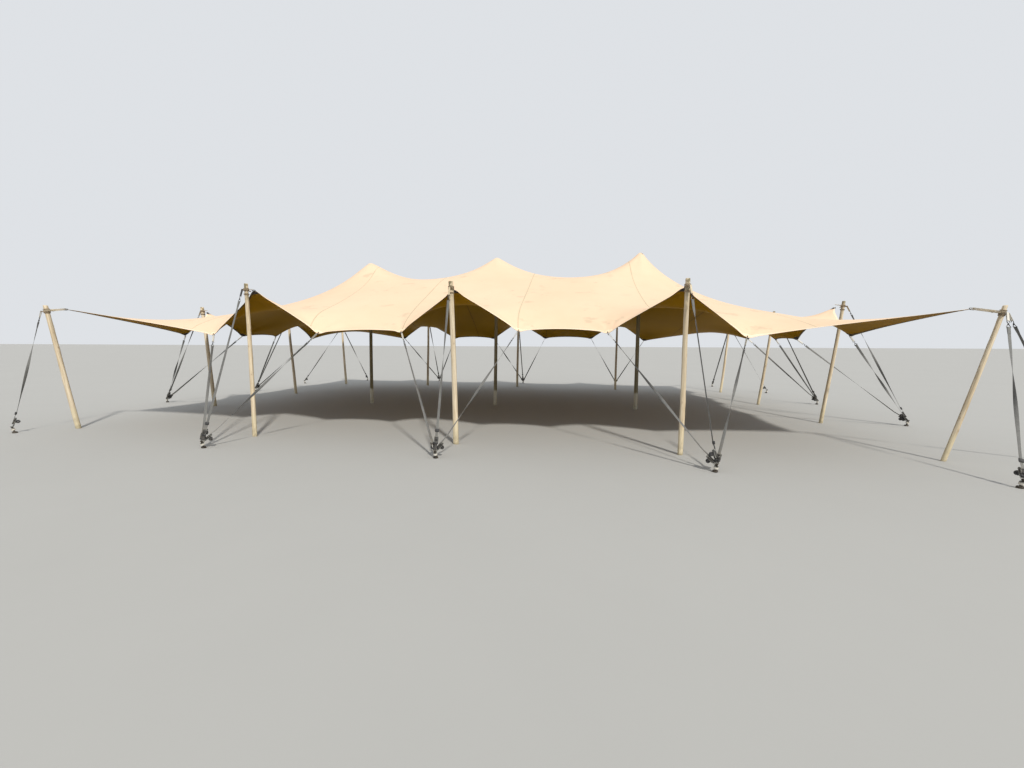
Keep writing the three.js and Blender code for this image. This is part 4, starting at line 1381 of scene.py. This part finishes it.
def wound_tail(middle, upward, across, slot):
    """Spare webbing wound flat round its own strap: an oval spiral that grows with each turn."""
    angle = np.linspace(0, 2 * np.pi * 3.4, 64)
    wide, deep = (start + 0.0030 * angle / (2 * np.pi) for start in (0.0225, 0.0045))
    third = np.cross(upward, across)
    path = middle + (wide * np.cos(angle))[:, None] * across + (deep * np.sin(angle))[:, None] * third
    out = unit((deep * np.cos(angle))[:, None] * across + (wide * np.sin(angle))[:, None] * third)
    lean = (0.004 * np.sin(angle * 0.43))[:, None] * upward
    return carried(strap_section(STRAP_WIDTH, STRAP_THICKNESS), path + lean, upward, out, slot=slot)


def turned(vector, axis, angle):
    """A vector square to the axis, turned about it:
    cos(angle) * vector + sin(angle) * (axis x vector)."""
    return np.cos(angle) * vector + np.sin(angle) * np.cross(axis, vector)


def strap(ring, hang, across, facing, ratchet_at, turn, twist, hold=0.1, tail=False, loop=PALE_WEB):
    """Everything from the ring on a peg to the point a strap hangs from. ratchet_at is how far up
    the strap its ratchet sits. The ratchet looks as nearly as it can the way of facing, then is
    turned about the strap by turn degrees. The strap keeps that direction for the share hold of
    its length, and turns over twist times on the rest."""
    length = np.linalg.norm(hang - ring)
    upward = (hang - ring) / length
    x_axis = turned(unit(np.cross(facing, upward)), upward, np.radians(turn))
    y_axis = np.cross(upward, x_axis)
    across = unit(across - upward * (across @ upward))
    iron, cloth = top_fittings(hang, upward, across, loop)
    axes = (x_axis, y_axis, upward)
    origin = ring + ratchet_at * upward
    iron += [moved(p, origin, axes) for p in RATCHET_IRON]
    cloth += [moved(p, origin, axes) for p in RATCHET_CLOTH]
    iron.append(triangular_link(ring + LOW_LINK * upward, -upward, x_axis, ZINC))
    low_bar = ring + (LOW_LINK + LINK_HEIGHT) * upward
    cloth.append(webbing_loop(low_bar, origin + BOLT_Z * upward, 0.0056, 0.0062, x_axis,
                              STRAP_WIDTH, STRAP_THICKNESS, slot=BLACK_WEB))
    start, end = ratchet_at + SPOOL_Z, length - BAR_DROP - 0.02
    settled = start + BACK_IN_LINE
    z = np.concatenate([np.linspace(start, settled, 7), np.linspace(settled, end, 40)[1:]])
    ease = np.clip((z - start) / (settled - start), 0, 1)
    off = OFF_SPOOL * (1 - ease**2 * (3 - 2 * ease))
    final = np.arctan2(across @ y_axis, across @ x_axis)
    final = (final + np.pi / 2) % np.pi - np.pi / 2 + twist * np.pi
    way = np.clip(((z - start) / (end - start) - hold) / (0.96 - hold), 0, 1)
    angle = (final * way**2 * (3 - 2 * way))[:, None]
    side = turned(x_axis, upward, angle)
    path = ring + z[:, None] * upward + off[:, None] * y_axis
    section = strap_section(STRAP_WIDTH, STRAP_THICKNESS)
    cloth.append(carried(section, path, side, np.cross(upward, side), slot=GREY_WEB))
    if tail:
        cloth.append(wound_tail(ring + (start + 0.10) * upward + 0.0075 * y_axis, upward, x_axis, BLACK_WEB))
    return iron, cloth


# %% [markdown]
# The heads of the poles are tied with rope: three strands that wind round one another. A run of
# rope round two things follows the line of a belt, in steps of equal length, so that its strands
# wind evenly. A knot is drawn as a curve that crosses itself three times, pulled into a ball.


# %% Ropes and knots
ROPE_LAY, SLING_LAY = 0.034, 0.032


def spokes(axis, first, count):
    """Unit vectors all round an axis: the first one and turned copies of it."""
    return turned(first, axis, np.arange(count)[:, None] * 2 * np.pi / count)


def round_head(middle, axis, radius, wire, slot):
    """A closed ring of rope round a pole."""
    ring = spokes(axis, unit(np.cross(axis, X_AXIS)), 30)
    return rope(middle + radius * ring, wire, axis, 18, slot)


def rope_belt(near, far, near_radius, far_radius, axis, wire, lay, slot):
    """A closed run of laid rope round two things; lay is how far the strands take to go round."""
    path, _ = belt_path(near, far, near_radius, far_radius, axis, 10)
    closed = np.concatenate([path, path[:1]])
    walked = np.concatenate([[0], np.cumsum(np.linalg.norm(np.diff(closed, axis=0), axis=1))])
    around = walked[-1]
    count = max(int(around / 0.012), 30)
    at = np.arange(count) * around / count
    even = np.stack([np.interp(at, walked, closed[:, k]) for k in range(3)], -1)
    return rope(even, wire, axis, round(around / lay) * 3, slot)


def knot(middle, along, across, size, wire, slot):
    """A tied knot: a rope along the trefoil, the curve that crosses itself three times."""
    t = np.arange(54) * 2 * np.pi / 54
    third = np.cross(along, across)
    path = (middle + size * ((np.sin(t) + 2 * np.sin(2 * t))[:, None] * across * 0.36
                             + (np.cos(t) - 2 * np.cos(2 * t))[:, None] * third * 0.36
                             - np.sin(3 * t)[:, None] * along * 0.42))
    return rope(path, wire, along + 0.3 * across, 12, slot)


# %% [markdown]
# Each head is tied to the rim. Between the corners a cream rope goes round the wood and through a
# shackle at the rim, with turns of brown rope and a brown knot. At the four corners three cream
# ropes run to the rim, with a knot round them, between turns of brown rope. The shackle goes
# through an eyelet: a ring of steel on each side of the cloth, which keeps it from tearing.

# %% Ties from the heads to the rim
COLLAR_DROP = 0.095
SHACKLE_IN, SHACKLE_OUT = 0.015, 0.022
EYELET_RADIUS, EYELET_LIFT = 0.012, 0.0032


def pole_place(pole, height_below_head):
    """A point on a pole's middle line and the pole's direction."""
    foot, head = np.array([*pole["foot"], 0.0]), np.array(pole["head"])
    return head + (foot - head) * height_below_head / head[2], unit(head - foot)


def rim_ring(node, away):
    """A shackle at a point of the rim, reaching out of the sheet along away, and the eyelet it
    goes through. Then the place of the shackle's outer bar and the direction of its pin."""
    i, j = node
    point = smooth_net(float(i), float(j))
    along_i, along_j = net_steps(float(i), float(j))
    edge = unit(along_i if j in (0, ROWS) else along_j)
    if i in (0, COLUMNS) and j in (0, ROWS):
        edge = unit(np.cross(away, Z_AXIS))
    outer = point + SHACKLE_OUT * away
    iron = [link(point - SHACKLE_IN * away, outer, 0.012, edge, 0.0042, BLACK_STEEL)]
    _, side = sheet_point(float(i), float(j))
    inward = unit(-away + side * (away @ side))
    eye = point + 0.016 * inward
    for lift in (EYELET_LIFT, -EYELET_LIFT):
        ring = eye + side * lift + EYELET_RADIUS * spokes(side, inward, 16)
        iron.append(rod(ring, 0.0030, side, 6, closed=True, slot=ZINC))
    return iron, outer, edge


def tie_to_rim(pole):
    """The ropes and ironwork from a pole's head to the point of the rim it holds."""
    collar, axis = pole_place(pole, COLLAR_DROP)
    out = unit(np.array(pole["eave"]) - collar)
    iron, outer, edge = rim_ring(pole["node"], -out)
    wood = HEAD_RADIUS * pole["girth"] + 0.0015
    if "lows" in pole:
        cloth = [round_head(collar + lift * axis, axis, wood + 0.0052, 0.0058, BROWN_ROPE)
                 for lift in (-0.092, -0.080, -0.027, -0.015, 0.012)]
        cloth.append(rope_belt(collar, outer, wood + 0.0055, 0.008, axis, 0.0056, ROPE_LAY, ROPE))
        beside = collar + (wood + 0.020) * out - 0.020 * axis
        cloth.append(knot(beside, axis, out, 0.015, 0.0052, BROWN_ROPE))
        iron.append(link(outer - 0.004 * out, outer + 0.012 * out, 0.010, np.cross(out, edge), 0.004,
                         BLACK_STEEL))
        return iron, cloth
    cloth = [rope_belt(collar + lift * axis, outer + 0.5 * lift * axis, wood + 0.0055, 0.011, axis,
                       0.0052, ROPE_LAY, ROPE) for lift in (-0.012, 0.0, 0.012)]
    cloth += [round_head(collar + lift * axis, axis, wood + 0.0055, 0.0060, BROWN_ROPE)
              for lift in (-0.042, -0.028, 0.028)]
    cloth.append(knot(collar + 0.100 * out, out, axis, 0.017, 0.0056, ROPE))
    return iron, cloth


# %% [markdown]
# From each head two slings of brown rope go out towards each peg, and hold the strap that keeps
# the pole from falling inwards. Two more straps run from the same peg to the low points on either
# side. All of them leave one steel ring, which rests on a cuff of webbing wound round the peg.

# %% The straps of one pole
PEG_LEAN, PEG_RING_HEIGHT, PEG_RING_RADIUS = 0.30, 0.082, 0.0225
SLING_DROP, SLING_REACH = 0.012, 0.074
LOW_RATCHET, NEXT_RATCHET = 0.128, 0.010


def ring_and_cuff(ring, axis):
    """The steel ring round a peg, and the webbing wound round the peg below it."""
    around = spokes(axis, unit(np.cross(axis, X_AXIS)), 20)
    iron = rod(ring + PEG_RING_RADIUS * around, 0.0052, axis, 8, closed=True, slot=ZINC)
    cuff = ring - 0.020 * axis
    cloth = [carried(strap_section(0.026, 0.0030), cuff + wrap * around, axis, around, closed=True,
                     slot=PALE_WEB) for wrap in (0.0150, 0.0182, 0.0214, 0.0246, 0.0278)]
    return iron, cloth


def strap_set(key, pole, head_ratchet, hold, turns, twists):
    """All straps, slings and ironwork of one edge pole, as its webbing piece and its steel piece.
    head_ratchet and hold are those of the strap to the head; turns and twists hold that strap's
    first, then those of the straps to the low points."""
    iron, cloth = tie_to_rim(pole)
    collar, axis = pole_place(pole, COLLAR_DROP + SLING_DROP)
    lows = [(node, place) for node, place in rim_pins().items() if place in pole.get("lows", ())]
    loop = BLACK_WEB if key == "front_1" else ROPE if lows else PALE_WEB
    for number, peg in enumerate(pole["pegs"]):
        away = unit([*np.subtract(peg, pole["foot"]), 0.0])
        lean = PEG_LEAN * away + Z_AXIS
        ring = np.array([*peg, 0.0]) + PEG_RING_HEIGHT * lean
        ring_iron, cuff = ring_and_cuff(ring, unit(lean))
        reach = collar + SLING_REACH * away - 0.004 * number * Z_AXIS
        wood = HEAD_RADIUS * pole["girth"] + 0.007 + 0.001 * number
        slings = [rope_belt(collar + lift * axis, reach + 0.6 * lift * axis, wood, 0.0075, axis,
                            0.0050, SLING_LAY, BROWN_ROPE) for lift in (-0.007, 0.007)]
        iron.append(ring_iron)
        cloth += slings + cuff
        parts = [strap(ring, reach, np.cross(axis, away), away, head_ratchet, turns[0], twists[0],
                       hold, tail=True, loop=loop)]
        for count, (node, place) in enumerate(lows):
            run = unit(ring - np.array(place))
            shackle, outer, edge = rim_ring(node, run)
            iron += shackle
            parts.append(strap(ring, outer, np.cross(edge, run), away, LOW_RATCHET + NEXT_RATCHET * count,
                               turns[1 + count], twists[1 + count]))
        for more_iron, more_cloth in parts:
            iron += more_iron
            cloth += more_cloth
    make_piece("webbing_" + key, cloth, strap_materials, ["straps_" + key])
    make_piece("ironwork_" + key, iron, iron_materials)


# %% [markdown]
# A peg is a steel pin that leans away from its pole. It is a turned outline, with a collar at the
# ground and a head that the hammer has spread. Its sections slide sideways with the lean instead
# of tilting, so that the collar stays flat on the ground.


# %% Pegs
def peg_piece(name, peg, foot, seed):
    """A forged pin with a collar on the ground and a hammered head, which a few waves dent."""
    profile = np.array([(0.004, 0), (0.020, 0), (0.034, 0), (0.036, 0.003), (0.0362, 0.012), (0.0355, 0.021),
                        (0.0325, 0.026), (0.026, 0.028), (0.0165, 0.0285), (0.0138, 0.031), (0.0130, 0.036),
                        (0.0130, 0.104), (0.0140, 0.109), (0.0172, 0.1115), (0.0188, 0.114), (0.0190, 0.119),
                        (0.0172, 0.1230), (0.0115, 0.1248), (0.004, 0.125)])
    random = np.random.default_rng(100 + seed)
    angle = np.arange(24)[None] * 2 * np.pi / 24
    head = np.clip((profile[:, 1:] - 0.105) / 0.008, 0, 1)
    dents = 0.035 * np.cos(2 * angle + random.uniform(0, 6))
    dents = dents + 0.025 * np.cos(5 * angle + random.uniform(0, 6))
    r = profile[:, :1] * (1 + head * dents)
    lean = PEG_LEAN * unit(np.array(peg) - np.array(foot))
    x = peg[0] + lean[0] * profile[:, 1:] + r * np.cos(angle)
    y = peg[1] + lean[1] * profile[:, 1:] + r * np.sin(angle)
    points = np.stack([x, y, np.broadcast_to(profile[:, 1:], x.shape)], -1)
    make_piece(name, [tube(points)], [peg_steel], [name.replace("pin_", "peg_")])


# %% [markdown]
# No two sets of straps hang alike. What is set for each is how far up the head strap its ratchet
# sits, the share of that strap which keeps the ratchet's direction, and how far each ratchet is
# turned about its strap, in degrees. The front ones follow the picture, the others are random.

# %% All straps and pegs
SET_BY_HAND = {"front_left": (0.155, 0.1, (10,)), "front_1": (0.185, 0.1, (30, 40, -45)),
               "front_2": (0.200, 0.1, (15, 50, -50)), "front_3": (0.180, 0.84, (80, 45, -50)),
               "front_right": (0.128, 0.1, (10,))}
random = np.random.default_rng(7)
for seed, (key, pole) in enumerate(EDGE_POLES.items()):
    at_random = random.uniform(-1, 1, 3) * 25 + (0, 15, -15)
    usual = (0.190 if "lows" in pole else 0.140, 0.1, at_random)
    strap_set(key, pole, *SET_BY_HAND.get(key, usual), random.choice([0, 0, 1, -1], 3))
    for number, peg in enumerate(pole["pegs"]):
        suffix = "_" + "ab"[number] if len(pole["pegs"]) > 1 else ""
        peg_piece(f"pin_{key}{suffix}", peg, pole["foot"], seed * 2 + number)
print("straps", sum(v for k, v in made.items() if k.startswith(("webbing_", "ironwork_"))), "faces")

# %% [markdown]
# ## The floor
# The tent stands on a plain pale disc, far larger than itself, so that the disc's rim lies close
# to the horizon. It is part of the stage, like the lights, and not of the tent.


# %% The floor
def make_floor():
    """A large disc just under the feet of the poles, with only a breath of unevenness in its tone."""
    material, n, shader = new_material("floor")
    tone = n.group(CLOUDS, Place=n.place(), Size=3.0, Contrast=0.4)
    pale = n.mix(tone, (0.34, 0.34, 0.328), (0.37, 0.37, 0.357))
    set_shader(n, shader, Base_Color=pale, Roughness=0.9)
    radius = np.array([0.0005, 5.0, 20.0, 60.0, 200.0, 600.0])[:, None, None]
    ring = np.concatenate([circle(1.0, 96), np.zeros((96, 1))], axis=1)
    patch = tube(np.concatenate([radius * ring, radius[::-1] * ring - (0, 0, 0.1)]))
    floor = bpy.data.objects.new("floor", joined_mesh("floor", [patch], [material]))
    floor.data.transform(Matrix.Translation((0, 0, -0.0005)))
    scene.collection.objects.link(floor)
    return floor


floor = make_floor()
print("floor", round(floor.dimensions.x), "m across")

# %% [markdown]
# ## Faces
# The faces of all the new pieces are counted and printed.

# %% Face count
print("faces", sum(made.values()))
